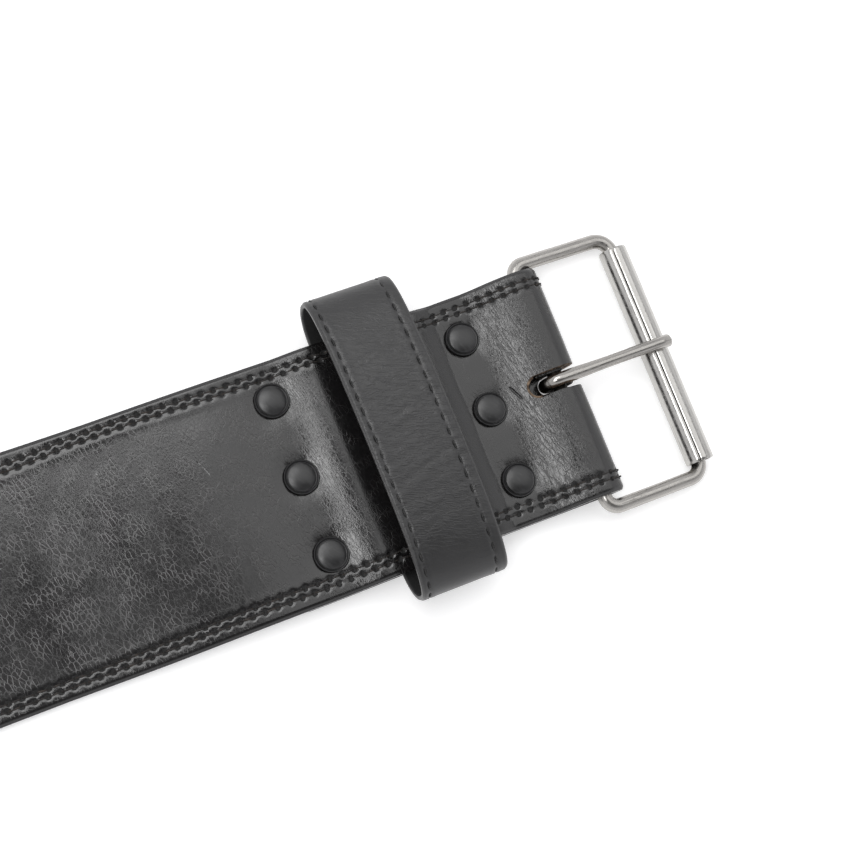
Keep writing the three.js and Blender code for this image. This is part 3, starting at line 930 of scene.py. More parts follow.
@dataclass
class EdgeTrack:
    """The line midway between the stitch rows, from the tongue's tip along either edge."""

    course: StrapCourse
    seam: SeamPattern
    tongue_rounding: float = 44 * MM
    far_wander: tuple[tuple[float, float], ...] = (
        (-200, 0.0), (-146, 0.45), (-122, -0.95), (-98, -1.0), (-63, 0.0), (28, 0.8), (40, 0.2), (66, 0.1),
    )
    near_wander: tuple[tuple[float, float], ...] = (
        (-200, 0.0), (-144, -0.35), (-100, 0.3), (28, 0.95), (65, 0.45),
    )

    def wander(self, side: Side, strap_length: Array) -> Array:
        """Returns how far the rows wander inward, which the tables give in millimetres by X."""
        table = np.array(self.far_wander if side is Side.FAR else self.near_wander) * MM
        return np.interp(self.course.x_at(strap_length), table[:, 0], table[:, 1])

    def __post_init__(self) -> None:
        """Lays out one side of the track: a quarter of an ellipse, then straight."""
        inset = self.seam.middle()
        turn = np.linspace(0, math.pi / 2, 160)
        round_part = np.stack([
            self.tongue_rounding - (self.tongue_rounding - inset) * np.cos(turn),
            (self.course.half_width - inset) * np.sin(turn),
        ], axis=1)
        end = np.array([[self.course.length, self.course.half_width - inset]])
        self.line = Line(np.concatenate([round_part, end]))
        self.round_length = float(self.line.marks[len(turn) - 1])

    def length_at(self, strap_length: float) -> float:
        """Returns the track's length at a length along the strap's straight part."""
        return strap_length - self.tongue_rounding + self.round_length

    def strap_length_at(self, length: float) -> float:
        """Returns the length along the strap at a length of the track's straight part."""
        return max(length - self.round_length + self.tongue_rounding, 0.0)

    def place(self, length: Array, edge: Array, side: Side) -> Array:
        """Finds flat places from the track.

        Args:
            length: Lengths along the track from the tip.
            edge: Distances from the strap's edge.
            side: Which edge.

        Returns:
            Length along the strap and Y of each place.
        """
        middle = self.line.at(length)
        heading = self.line.heading(length)
        outward = np.stack([-heading[..., 1], heading[..., 0]], axis=-1)
        inward = np.asarray(edge) + self.wander(side, middle[..., 0])
        spot = middle + outward * (self.seam.middle() - inward)[..., None]
        return spot * np.array([1, side.value])

    def locate(self, flat: Array) -> tuple[Array, Array]:
        """Finds the track's length and the distance from the edge.

        Args:
            flat: Length along the strap and Y of each place.

        Returns:
            The track's lengths and the distances from the edge.
        """
        along = flat[:, 0] - self.tongue_rounding + self.round_length
        edge = self.course.half_width - np.abs(flat[:, 1])
        tongue = np.nonzero(flat[:, 0] < self.tongue_rounding)[0]
        marks = np.linspace(0, self.round_length, 240)
        spots = self.line.at(marks)
        for start in range(0, len(tongue), 4000):
            chosen = tongue[start:start + 4000]
            gap = np.stack([flat[chosen, 0], np.abs(flat[chosen, 1])], axis=1)[:, None] - spots[None]
            nearest = np.argmin((gap ** 2).sum(axis=2), axis=1)
            heading = self.line.heading(marks[nearest])
            outward = np.stack([-heading[:, 1], heading[:, 0]], axis=1)
            reach = (gap[np.arange(len(chosen)), nearest] * outward).sum(axis=1)
            along[chosen] = marks[nearest]
            edge[chosen] = self.seam.middle() - reach
        for side in Side:
            chosen = flat[:, 1] * side.value > 0
            edge[chosen] -= self.wander(side, flat[chosen, 0])
        return along, edge

    def stagger(self, side: Side, strap_length: Array) -> Array:
        """Returns how far the outer row's holes lag the inner row's, as a share of the pitch."""
        x = self.course.x_at(strap_length)
        if side is Side.FAR:
            return 0.5 - 0.5 * smooth(x, -16 * MM, 17 * MM)
        drift = 0.05 + 0.42 * smooth(x, -260 * MM, -40 * MM)
        return drift + (0.1 - drift) * smooth(x, -16 * MM, 17 * MM)


@dataclass
class Strap:
    """The strap's leather: one closed slab with its slot and holes, bent onto its course.

    The last fields are how far the grain side dips at the needle holes, under the rows and round
    the caps, and how high it stands beside the rows, in its waves and along the rivets.
    """

    course: StrapCourse
    track: EdgeTrack
    seam: SeamPattern
    fine_pitch: float = 0.66 * MM
    coarse_pitch: float = 3.4 * MM
    fine_from_x: float = -262 * MM
    tongue_stations: int = 22
    edge_round: float = 0.9 * MM
    slot_depth: float = 23.8 * MM
    slot_width: float = 8 * MM
    slot_middle_y: float = 1.6 * MM
    slot_chamfer: float = 0.9 * MM
    flap_slot_reach: float = 7.75 * MM
    hole_diameter: float = 7 * MM
    hole_pitch: float = 30 * MM
    hole_count: int = 8
    first_hole: float = 70 * MM
    rivet_bore: float = 2.3 * MM
    recess_radius: float = 5.8 * MM
    recess_depth: float = 1.7 * MM
    needle_dip: float = 0.75 * MM
    row_dip: float = 0.16 * MM
    cap_dip: float = 0.5 * MM
    cap_hollow: float = 0.35 * MM
    row_ridge: float = 0.1 * MM
    pucker: float = 0.08 * MM
    wave: float = 0.16 * MM
    ripple: float = 0.04 * MM
    rivet_swell: float = 0.35 * MM

    def stations(self) -> Array:
        """Returns the lengths of the slab's sections, close together where the stitches show."""
        rounding = self.track.tongue_rounding
        turn = np.linspace(0.05, math.pi / 2, self.tongue_stations)
        tongue = rounding * (1 - np.cos(turn))
        fine_from = self.course.mark_at(self.fine_from_x)
        fine_to = self.course.mark_at(self.course.bar_x - 12 * MM, on_flap=True)
        coarse = np.arange(rounding + self.coarse_pitch, fine_from, self.coarse_pitch)
        fine = np.arange(fine_from, fine_to, self.fine_pitch)
        tail = np.append(np.arange(fine_to, self.course.length - MM, self.coarse_pitch), self.course.length)
        return np.concatenate([tongue, coarse, fine, tail])

    def section(self) -> Array:
        """Returns the slab's section: share of the half width and height, round once."""
        margin = MM * np.array([
            0, 0.3, 0.75, 1.4, 2.2, 3, 3.6, 4.2, 4.8, 5.4, 6, 6.6, 7.2, 7.8, 8.4, 9.1, 10, 11.2,
        ])
        half = self.course.half_width
        middle = np.linspace(half - 12.6 * MM, 0, 17)
        one_side = np.concatenate([half - margin, middle])
        top_y = np.concatenate([one_side, -one_side[-2::-1]])
        top_drop = self.edge_round * (1 - smooth(half - np.abs(top_y), 0, 1.3 * MM)) * 0.9
        top = np.stack([top_y, self.course.thickness - top_drop], axis=1)
        under_y = np.concatenate([[-half], np.linspace(-half + MM, half - MM, 20), [half]])
        under_lift = np.where(half - np.abs(under_y) < 0.5 * MM, 0.8 * MM, 0.0)
        under = np.stack([under_y, under_lift], axis=1)
        sides = np.array([[-half, 2.8 * MM], [-half, 1.9 * MM]])
        other = sides[::-1] * np.array([-1, 1])
        return np.concatenate([top, sides, under, other])

    def slab(self) -> bmesh.types.BMesh:
        """Builds the flat slab, narrowing over the tongue."""
        stations, section = self.stations(), self.section()
        rounding = self.track.tongue_rounding
        narrow = np.sqrt(np.clip(1 - (np.clip(rounding - stations, 0, None) / rounding) ** 2, 0, 1))

        def place(station: Array, ring: Array) -> tuple[Array, dict[str, Array]]:
            points = np.stack([
                stations[station],
                section[ring, 0] * narrow[station],
                section[ring, 1],
            ], axis=1)
            return points, {}

        return swept_ring(len(section), len(stations), place)

    @staticmethod
    def upright(
        bm: bmesh.types.BMesh, spot: tuple[float, float], radius: float, low: float, high: float,
    ) -> None:
        """Adds a round cutter, upright in the flat slab."""
        place = Matrix.Translation((*spot, (low + high) / 2))
        bmesh.ops.create_cone(
            bm, cap_ends=True, segments=40, radius1=radius, radius2=radius, depth=high - low, matrix=place,
        )

    def slot_cutter(self, bm: bmesh.types.BMesh) -> None:
        """Adds the slot's cutter: a long prism with round ends, flared at the grain side."""
        course = self.course
        half = self.slot_width / 2
        start = course.mark_at(course.nose_x - self.slot_depth + half)
        end = course.mark_at(course.bar_x - self.flap_slot_reach + half, on_flap=True)
        made = bmesh.ops.create_circle(bm, cap_ends=True, segments=32, radius=half)["verts"]
        for vert in made:
            along = end if vert.co.x > 1e-9 or (abs(vert.co.x) <= 1e-9 and vert.co.y > 0) else start
            vert.co.x += along
            vert.co.y += self.slot_middle_y
            vert.co.z = -MM
        face = made[0].link_faces[0]
        heights = (course.thickness - self.slot_chamfer, course.thickness + self.slot_chamfer)
        flare = (0.0, 2 * self.slot_chamfer)
        for height, wider in zip(heights, flare):
            grown = bmesh.ops.extrude_face_region(bm, geom=[face])
            if face.is_valid and height != heights[0]:
                bmesh.ops.delete(bm, geom=[face], context="FACES_ONLY")
            face = [item for item in grown["geom"] if isinstance(item, bmesh.types.BMFace)][0]
            middle = Vector(((start + end) / 2, self.slot_middle_y, 0))
            for vert in face.verts:
                vert.co.z = height
                if wider:
                    reach_x = vert.co.x - (start if vert.co.x < middle.x else end)
                    away = Vector((reach_x, vert.co.y - middle.y, 0)).normalized()
                    vert.co += away * wider

    def cutters(self) -> bpy.types.Object:
        """Builds every cutter of the slab as one helper mesh."""
        course = self.course
        bm = bmesh.new()
        self.slot_cutter(bm)
        through = (-MM, course.thickness + MM)
        for index in range(self.hole_count):
            spot = (self.first_hole + index * self.hole_pitch, 0.0)
            self.upright(bm, spot, self.hole_diameter / 2, *through)
        for node in RIVET_NODES:
            x, y = box_middle(node)
            self.upright(bm, (course.mark_at(x), y), self.rivet_bore, *through)
            under = course.mark_at(x, on_flap=True)
            self.upright(bm, (under, y), self.rivet_bore, -MM, course.thickness - MM)
            top = course.thickness
            self.upright(bm, (under, y), self.recess_radius, top - self.recess_depth, top + MM)
        bmesh.ops.recalc_face_normals(bm, faces=bm.faces)
        return finished_object("strap_cutters", bm)

    def cut(self, piece: bpy.types.Object) -> None:
        """Cuts the slot, the prong's holes and the rivets' bores, and removes the cutters."""
        tool = self.cutters()
        cutting = piece.modifiers.new("cuts", "BOOLEAN")
        cutting.operation = "DIFFERENCE"
        cutting.solver = "EXACT"
        cutting.use_self = True
        cutting.object = tool
        graph = bpy.context.evaluated_depsgraph_get()
        result = bpy.data.meshes.new_from_object(piece.evaluated_get(graph))
        piece.modifiers.clear()
        old = piece.data
        piece.data = result
        bpy.data.meshes.remove(old)
        bpy.data.objects.remove(tool)

    def needle_distance(self, flat: Array) -> tuple[Array, Array, Array, Array]:
        """Finds the stitch rows near flat places.

        Args:
            flat: Length along the strap and Y of each place.

        Returns:
            The outer and inner rows' counts, the distance from the edge and the distance from
            the nearest needle hole.
        """
        along, edge = self.track.locate(flat)
        outer, inner = np.zeros(len(flat)), np.zeros(len(flat))
        for side in Side:
            chosen = np.sign(flat[:, 1]) == side.value if side is Side.FAR else flat[:, 1] <= 0
            count = along[chosen] / self.seam.pitch + SEAM_START[side]
            inner[chosen] = count
            outer[chosen] = count + self.track.stagger(side, flat[chosen, 0])
        gap_outer = np.hypot((outer % 1 - 0.5) * self.seam.pitch, edge - self.seam.outer_row)
        gap_inner = np.hypot((inner % 1 - 0.5) * self.seam.pitch, edge - self.seam.inner_row)
        return outer, inner, edge, np.minimum(gap_outer, gap_inner)

    def lift(self, flat: Array, edge: Array, gap: Array) -> Array:
        """Works out the relief of the grain side.

        Args:
            flat: Length, Y and height of each place.
            edge: Distances from the strap's edge.
            gap: Distances from the nearest needle hole.

        Returns:
            How far each place on the grain side is raised.
        """
        length, y = flat[:, 0], flat[:, 1]
        raised = -self.needle_dip * bell(gap, 0.95 * MM)
        for row in (self.seam.outer_row, self.seam.inner_row):
            raised -= self.row_dip * bell(edge - row, 0.75 * MM)
        raised += self.row_ridge * bell(edge - self.seam.inner_row - 2.2 * MM, 1.2 * MM)
        raised += self.pucker * Relief(3, 5.2 * MM, 2.6 * MM).at(length, y) * bell(edge - 7 * MM, 3.2 * MM)
        raised += self.wave * Relief(5, 46 * MM, 34 * MM).at(length, y)
        raised += self.ripple * Relief(8, 11 * MM, 19 * MM).at(length, y)
        on_top = 1 - smooth(length, self.course.upper_end - 2 * MM, self.course.upper_end + 6 * MM)
        x = self.course.x_at(length)
        for row_x in (self.course.rear_x, self.course.front_x):
            raised += self.rivet_swell * bell(x - row_x, 8 * MM) * on_top
        for node in RIVET_NODES:
            middle_x, middle_y = box_middle(node)
            reach = np.hypot(x - middle_x, y - middle_y)
            raised -= on_top * self.cap_dip * (1 - smooth(reach, 6 * MM, 7.4 * MM))
            raised -= on_top * self.cap_hollow * (1 - smooth(reach, 7 * MM, 12 * MM))
        return np.where(on_top > 0.5, raised, np.minimum(raised, 0.0))

    def build(self, grain: bpy.types.Material, cut_edge: bpy.types.Material) -> bpy.types.Object:
        """Makes the leather.

        Args:
            grain: Finish of the leather.
            cut_edge: Finish of the slot's and the holes' walls.

        Returns:
            The finished strap.
        """
        piece = finished_object("strap_leather_body", self.slab())
        self.cut(piece)
        mesh = piece.data
        flat = read_points(mesh)
        normals = np.array([face.normal for face in mesh.polygons])
        centres = np.array([face.center for face in mesh.polygons])
        outer, inner, edge, gap = self.needle_distance(flat[:, :2])
        grain_side = smooth(flat[:, 2], 2.9 * MM, 4.2 * MM)
        bent = flat.copy()
        bent[:, 2] += self.lift(flat, edge, gap) * grain_side
        write_attribute(mesh, "seam", np.stack([outer, inner, edge / MM], axis=1))
        write_attribute(mesh, "cut", np.stack([flat[:, 2] / self.course.thickness] * 3, axis=1))
        x = self.course.x_at(flat[:, 0])
        top = flat[:, 0] < self.course.upper_end + 4 * MM
        creased = np.where(top, smooth(x, 44 * MM, 55 * MM) * (1 - smooth(x, 68 * MM, 76 * MM)), 0.0)
        creased += np.where(top, 0.5 * bell(x + 36 * MM, 10 * MM), 0.0)
        nose = smooth(x, self.course.bar_x - 5 * MM, self.course.bar_x + 2 * MM)
        write_attribute(mesh, "lie", np.stack([creased, nose, 0 * nose], axis=1))
        placed = self.course.bend(bent)
        mesh.vertices.foreach_set("co", placed.astype(np.float32).ravel())
        mesh.materials.clear()
        mesh.materials.append(grain)
        mesh.materials.append(cut_edge)
        _, _, face_edge, _ = self.needle_distance(centres[:, :2])
        walls = (np.abs(normals[:, 2]) < 0.9) & (face_edge > 12 * MM)
        walls &= centres[:, 0] < self.course.length - 0.5 * MM
        mesh.polygons.foreach_set("material_index", walls.astype(np.int32))
        mesh.update()
        mesh.shade_smooth()
        mesh.set_sharp_from_angle(angle=math.radians(42))
        seat(piece, Body.STRAP, Slot.STRAP, "belt_strap")
        return piece


@dataclass
class Stitch:
    """One stitch: a thread that dives into a needle hole at each end.

    Attributes:
        length: Distance between its two holes.
        radius: Radius of the thread.
        arch: Height of its middle over the leather.
        dive: Depth of its ends under the leather.
        sides: Facets round it.
        steps: Sections along it.
    """

    length: float
    radius: float
    arch: float
    dive: float
    sides: int = 6
    steps: int = 7

    def build(self) -> bmesh.types.BMesh:
        """Makes the stitch along X, centred on the leather's surface."""
        spread = 0.5 - 0.5 * np.cos(np.linspace(0, math.pi, self.steps))
        along = (spread - 0.5) * self.length
        rise = self.arch - (self.arch + self.dive) * np.abs(2 * spread - 1) ** 2.6

        def place(station: Array, ring: Array) -> tuple[Array, dict[str, Array]]:
            angle = ring / self.sides * 2 * math.pi
            points = np.stack([
                along[station],
                self.radius * np.cos(angle),
                rise[station] + self.radius * np.sin(angle),
            ], axis=1)
            yarn = np.stack([along[station], angle, np.zeros(len(angle))], axis=1)
            return points, {"yarn": yarn}

        return swept_ring(self.sides, self.steps, place)


@dataclass
class StrapStitching:
    """The double rows of stitches along both edges, round the tongue and round the fold."""

    course: StrapCourse
    track: EdgeTrack
    seam: SeamPattern
    thread_radius: float = 0.4 * MM
    fold_bump: float = 0.5 * MM
    flap_sink: float = 0.45 * MM

    def build(self, finish: bpy.types.Material) -> bpy.types.Object:
        """Makes every stitch of the grain side, following the leather."""
        stitch = Stitch(self.seam.pitch * 0.97, self.thread_radius, -0.08 * MM, 1.15 * MM)
        pattern = stitch.build()
        shape = np.array([vert.co for vert in pattern.verts])
        wobble = np.random.default_rng(11)
        end = self.track.length_at(self.course.length) - 4 * MM
        copies = []
        for side in Side:
            for row, staggered in ((self.seam.outer_row, True), (self.seam.inner_row, False)):
                for number in range(int(end / self.seam.pitch)):
                    count = number + 1.0
                    length = (count - SEAM_START[side]) * self.seam.pitch
                    if staggered:
                        strap_length = np.array([self.track.strap_length_at(length)])
                        length -= float(self.track.stagger(side, strap_length)[0]) * self.seam.pitch
                    if length < stitch.length or length > end:
                        continue
                    turn = wobble.uniform(-0.12, 0.12)
                    along = length + shape[:, 0] * math.cos(turn) - shape[:, 1] * math.sin(turn)
                    across = row + shape[:, 0] * math.sin(turn) + shape[:, 1] * math.cos(turn)
                    spot = self.track.place(along, across, side)
                    height = self.course.thickness + shape[:, 2] + wobble.uniform(-0.12, 0.04) * MM
                    if spot[0, 0] > (self.course.upper_end + self.course.flap_start) / 2:
                        height = height - self.flap_sink
                    elif self.course.x_at(spot[0, 0]) > self.course.bar_x + 3 * MM:
                        height = height + self.fold_bump
                    copies.append(self.course.bend(np.column_stack([spot, height])))
        piece = repeated_object("strap_stitches", pattern, copies)
        piece.data.materials.append(finish)
        seat(piece, Body.STRAP, Slot.STRAP)
        return piece


@dataclass
class KeeperCourse:
    """The keeper's loop seen along the belt, read by the length of its outer face from the crown."""

    thickness: float = KEEPER_THICKNESS
    flat_half: float = 48 * MM
    shoulder_height: float = 14.5 * MM
    lower_first_y: float = 0.62
    lower_second_z: float = 0.4
    upper_first_z: float = 0.68
    upper_second_y: float = 0.75
    skew: float = 0.014

    def __post_init__(self) -> None:
        """Lays the loop out from the node's box."""
        low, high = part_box("keeper_loop")
        self.low_x, self.high_x = low.x, high.x
        self.middle_y = box_middle("keeper_loop")[1]
        low_z, crown_z = low.z + self.thickness / 2, high.z - self.thickness / 2
        shoulder_z = low.z + self.shoulder_height
        end_y = (high.y - low.y - self.thickness) / 2
        lower = self.curve([
            (self.flat_half, low_z),
            (self.flat_half + (end_y - self.flat_half) * self.lower_first_y, low_z),
            (end_y, low_z + (shoulder_z - low_z) * self.lower_second_z),
            (end_y, shoulder_z),
        ])
        upper = self.curve([
            (end_y, shoulder_z),
            (end_y, shoulder_z + (crown_z - shoulder_z) * self.upper_first_z),
            (end_y * self.upper_second_y, crown_z),
            (0.0, crown_z),
        ])
        flat = np.stack([np.linspace(0, self.flat_half, 60), np.full(60, low_z)], axis=1)
        half = np.concatenate([flat, lower[1:], upper[1:]])
        other = half[-2::-1] * np.array([-1, 1])
        middle = np.concatenate([half, other])
        self.outer = Line(offset(middle, -self.thickness / 2))
        self.inner = offset(middle, self.thickness / 2)
        self.crown = float(self.outer.marks[len(half) - 1])
        self.length = self.outer.length

    @staticmethod
    def curve(handles: list[tuple[float, float]]) -> Array:
        """Returns close points of a cubic curve through four handles."""
        t = np.linspace(0, 1, 160)[:, None]
        a, b, c, d = (np.array(handle) for handle in handles)
        return a * (1 - t) ** 3 + 3 * b * t * (1 - t) ** 2 + 3 * c * t * t * (1 - t) + d * t ** 3

    def bend(self, flat: Array) -> Array:
        """Lays flat places onto the loop.

        Args:
            flat: Length from the crown toward the near side, X, and height through the leather.

        Returns:
            The places in space.
        """
        marks = (flat[:, 0] + self.crown) % self.length
        outer = self.outer.at(marks)
        inner = self.outer.read(self.inner, marks)
        side = inner + (outer - inner) * (flat[:, 2] / self.thickness)[:, None]
        across = flat[:, 1] - self.skew * side[:, 0]
        return np.stack([across, self.middle_y + side[:, 0], side[:, 1]], axis=1)


@dataclass
class Keeper:
    """The keeper: a stitched leather loop that stands up over the strap."""

    course: KeeperCourse
    left_row: float = 3.2 * MM
    right_row: float = 4.9 * MM
    stitch_pitch: float = 6.1 * MM
    stations: int = 430
    thread_radius: float = 0.42 * MM

    def section(self) -> Array:
        """Returns the loop's section: X share and height, with round edges."""
        low, high = self.course.low_x, self.course.high_x
        thick = self.course.thickness
        margin = MM * np.array([
            0.0, 0.15, 0.45, 0.9, 1.5, 2.1, 2.6, 3.0, 3.4, 3.8, 4.3, 4.8, 5.3, 5.8, 6.6, 7.6,
        ])
        drop = 0.6 * MM * (1 - smooth(margin, 0, 1.0 * MM))
        middle_x = np.linspace(low + 9 * MM, high - 9 * MM, 15)
        top_x = np.concatenate([low + margin, middle_x, (high - margin)[::-1]])
        top_z = thick - np.concatenate([drop, np.zeros(len(middle_x)), drop[::-1]])
        rim = MM * np.array([0.0, 0.3, 0.9])
        inside_x = np.concatenate([
            high - rim, np.linspace(high - 4 * MM, low + 4 * MM, 8), (low + rim)[::-1],
        ])
        inside_z = np.array([0.5, 0.15, 0.0] + [0.0] * 8 + [0.0, 0.15, 0.5]) * MM
        return np.concatenate([np.stack([top_x, top_z], axis=1), np.stack([inside_x, inside_z], axis=1)])

    def row_x(self, side: Side, length: Array) -> Array:
        """Returns the X of a stitch row, which wanders a little."""
        wander = 0.28 * MM * Relief(21 + side.value, 13 * MM, 1.0).at(length + 1.0, np.zeros_like(length))
        if side is Side.NEAR:
            return self.course.low_x + self.left_row + wander
        return self.course.high_x - self.right_row + wander

    def lift(self, length: Array, x: Array) -> Array:
        """Works out the relief of the outer face.

        Args:
            length: Lengths from the crown.
            x: Places across the keeper.

        Returns:
            How far each place is raised.
        """
        worn = 1 - smooth(np.abs(length + 6 * MM), 30 * MM, 62 * MM)
        raised = np.zeros_like(length)
        for side in Side:
            gap = x - self.row_x(side, length)
            outside = gap < 0 if side is Side.NEAR else gap > 0
            phase = np.cos(2 * math.pi * (length / self.stitch_pitch))
            raised -= (0.3 + 0.16 * phase) * MM * bell(gap, 0.62 * MM)
            pucker = Relief(31 + side.value, 1.5 * MM, 6 * MM).at(length, gap)
            raised += 0.13 * MM * pucker * worn * np.where(outside, 1.0, 0.25) * bell(gap, 3.4 * MM)
            raised += 0.1 * MM * bell(np.abs(gap) - 1.7 * MM, 1.1 * MM)
        skew = length + 0.28 * (x - self.course.low_x)
        raised += 0.085 * MM * Relief(41, 2.1 * MM, 7.5 * MM).at(skew, x) * worn
        raised += 0.07 * MM * Relief(43, 5 * MM, 11 * MM).at(skew, x) * worn
        raised += 0.15 * MM * Relief(45, 31 * MM, 26 * MM).at(length, x)
        return raised

    def leather(self, finish: bpy.types.Material) -> bpy.types.Object:
        """Makes the loop's leather."""
        section = self.section()
        marks = np.arange(self.stations) / self.stations * self.course.length - self.course.length / 2
        thick = self.course.thickness

        def place(station: Array, ring: Array) -> tuple[Array, dict[str, Array]]:
            length, x, height = marks[station], section[ring, 0], section[ring, 1]
            outer_face = smooth(height, thick * 0.55, thick * 0.8)
            raised = height + self.lift(length, x) * outer_face
            edge = np.minimum(x - self.course.low_x, self.course.high_x - x)
            worn = 1 - smooth(np.abs(length + 6 * MM), 34 * MM, 66 * MM)
            cut = 1 - smooth(edge, 0.1 * MM, 0.7 * MM)
            flesh = (height < 0.2 * thick) & (edge > 0.5 * MM)
            marks_here = {
                "keeper_flat": np.stack([x, length, height], axis=1),
                "keeper_lie": np.stack([0.25 + 0.75 * worn, cut, flesh.astype(float)], axis=1),
            }
            return self.course.bend(np.stack([length, x, raised], axis=1)), marks_here

        bm = swept_ring(len(section), self.stations, place, closed=True)
        piece = finished_object("keeper_leather_loop", bm, 55)
        piece.data.materials.append(finish)
        seat(piece, Body.STRAP, Slot.KEEPER, "keeper_loop")
        return piece

    def stitches(self, finish: bpy.types.Material) -> bpy.types.Object:
        """Makes the keeper's two rows of stitches."""
        stitch = Stitch(self.stitch_pitch * 0.9, self.thread_radius, 0.05 * MM, 0.85 * MM, 6, 8)
        pattern = stitch.build()
        shape = np.array([vert.co for vert in pattern.verts])
        wobble = np.random.default_rng(17)
        count = int(self.course.length / self.stitch_pitch)
        copies = []
        for side in Side:
            for number in range(count):
                middle = (number + 0.5) * self.stitch_pitch - self.course.length / 2
                turn = wobble.uniform(-0.07, 0.07)
                along = middle + shape[:, 0]
                row = self.row_x(side, along)
                across = row + shape[:, 1] + shape[:, 0] * turn
                height = self.course.thickness - 0.24 * MM + shape[:, 2] + wobble.uniform(-0.05, 0.05) * MM
                copies.append(self.course.bend(np.stack([along, across, height], axis=1)))
        piece = repeated_object("keeper_stitches", pattern, copies)
        piece.data.materials.append(finish)
        seat(piece, Body.STRAP, Slot.KEEPER)
        return piece


@dataclass
class Rivet:
    """One capped rivet: a lipped flange, a dome, its post and its back head."""

    node: str
    flange_radius: float = 7.15 * MM
    lip_height: float = 0.95 * MM
    dome_radius: float = 5.9 * MM
    dome_rise: float = 0.85 * MM
    dome_height: float = 2.05 * MM
    post_radius: float = 2 * MM
    back_radius: float = 5.5 * MM
    back_thickness: float = 1.2 * MM
    height: float = 2.9 * MM
    turns: int = 72

    def profile(self, low: float, high: float) -> list[tuple[float, float]]:
        """Returns the rivet's outline as radius and height, from the back head to the dome."""
        flange = high - self.height
        lip = flange + self.lip_height
        groove = flange + 0.35 * MM
        top = flange + self.dome_height
        shoulder = top - self.dome_rise
        outline = [
            (0.0, low),
            (self.back_radius - 0.3 * MM, low),
            (self.back_radius, low + 0.3 * MM),
            (self.back_radius, low + self.back_thickness),
            (self.post_radius, low + self.back_thickness),
            (self.post_radius, flange),
            (self.flange_radius - 0.2 * MM, flange),
            (self.flange_radius, flange + 0.25 * MM),
            (self.flange_radius - 0.08 * MM, lip - 0.2 * MM),
            (self.flange_radius - 0.26 * MM, lip),
            (self.flange_radius - 0.48 * MM, lip - 0.06 * MM),
            (self.flange_radius - 0.66 * MM, lip - 0.35 * MM),
            (self.dome_radius + 0.4 * MM, groove),
            (self.dome_radius + 0.08 * MM, groove),
            (self.dome_radius, shoulder - 0.35 * MM),
            (self.dome_radius - 0.1 * MM, shoulder - 0.14 * MM),
        ]
        for step in range(15):
            share = 1 - step / 14
            radius = (self.dome_radius - 0.3 * MM) * share
            outline.append((radius, top - self.dome_rise * share ** 2.3))
        return outline

    def build(self, finish: bpy.types.Material) -> bpy.types.Object:
        """Spins the rivet's outline about its own axis."""
        low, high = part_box(self.node)
        middle = Vector((*box_middle(self.node), 0))
        bm = bmesh.new()
        verts = [bm.verts.new((radius, 0, height)) for radius, height in self.profile(low.z, high.z)]
        edges = [bm.edges.new(pair) for pair in zip(verts, verts[1:])]
        bmesh.ops.spin(
            bm, geom=verts + edges, cent=(0, 0, 0), axis=(0, 0, 1), angle=2 * math.pi, steps=self.turns,
            use_merge=True, use_duplicate=False,
        )
        bmesh.ops.remove_doubles(bm, verts=bm.verts, dist=1e-6)
        bmesh.ops.recalc_face_normals(bm, faces=bm.faces)
        bmesh.ops.translate(bm, verts=bm.verts, vec=middle)
        piece = finished_object(self.node.replace("rivet", "rivet_cap"), bm, 60)
        piece.data.materials.append(finish)
        seat(piece, Body.STRAP, Slot.RIVET, self.node)
        return piece


@dataclass
class Wire:
    """A round wire carried along a line, with its width changing along it.

    Attributes:
        line: The wire's middle line in space.
        radius: Radius of the wire.
        side: A direction across the wire that never lies along it.
        sides: Facets round it.
        pitch: Distance between sections.
    """

    line: Line
    radius: float
    side: Vector
    sides: int = 28
    pitch: float = 0.7 * MM

    def build(self, shape: Callable[[Array, Array], tuple[Array, Array]]) -> bmesh.types.BMesh:
        """Makes the wire.

        Args:
            shape: Gives the two radii, along the side and away from it, for shares of the
                length and angles round the wire.

        Returns:
            The closed wire.
        """
        count = max(int(self.line.length / self.pitch), 8)
        marks = np.linspace(0, self.line.length, count)
        centre, heading = self.line.at(marks), self.line.heading(marks)
        side = np.array(self.side)[None] - heading * (heading @ np.array(self.side))[:, None]
        side /= np.linalg.norm(side, axis=1, keepdims=True)
        away = np.cross(heading, side)

        def place(station: Array, ring: Array) -> tuple[Array, dict[str, Array]]:
            angle = ring / self.sides * 2 * math.pi
            along_side, along_away = shape(marks[station] / self.line.length, angle)
            points = centre[station] + side[station] * along_side[:, None]
            points += away[station] * along_away[:, None]
            across = (self.radius * np.cos(angle), self.radius * np.sin(angle))
            return points, {"metal": np.stack([marks[station], *across], axis=1)}

        return swept_ring(self.sides, count, place)


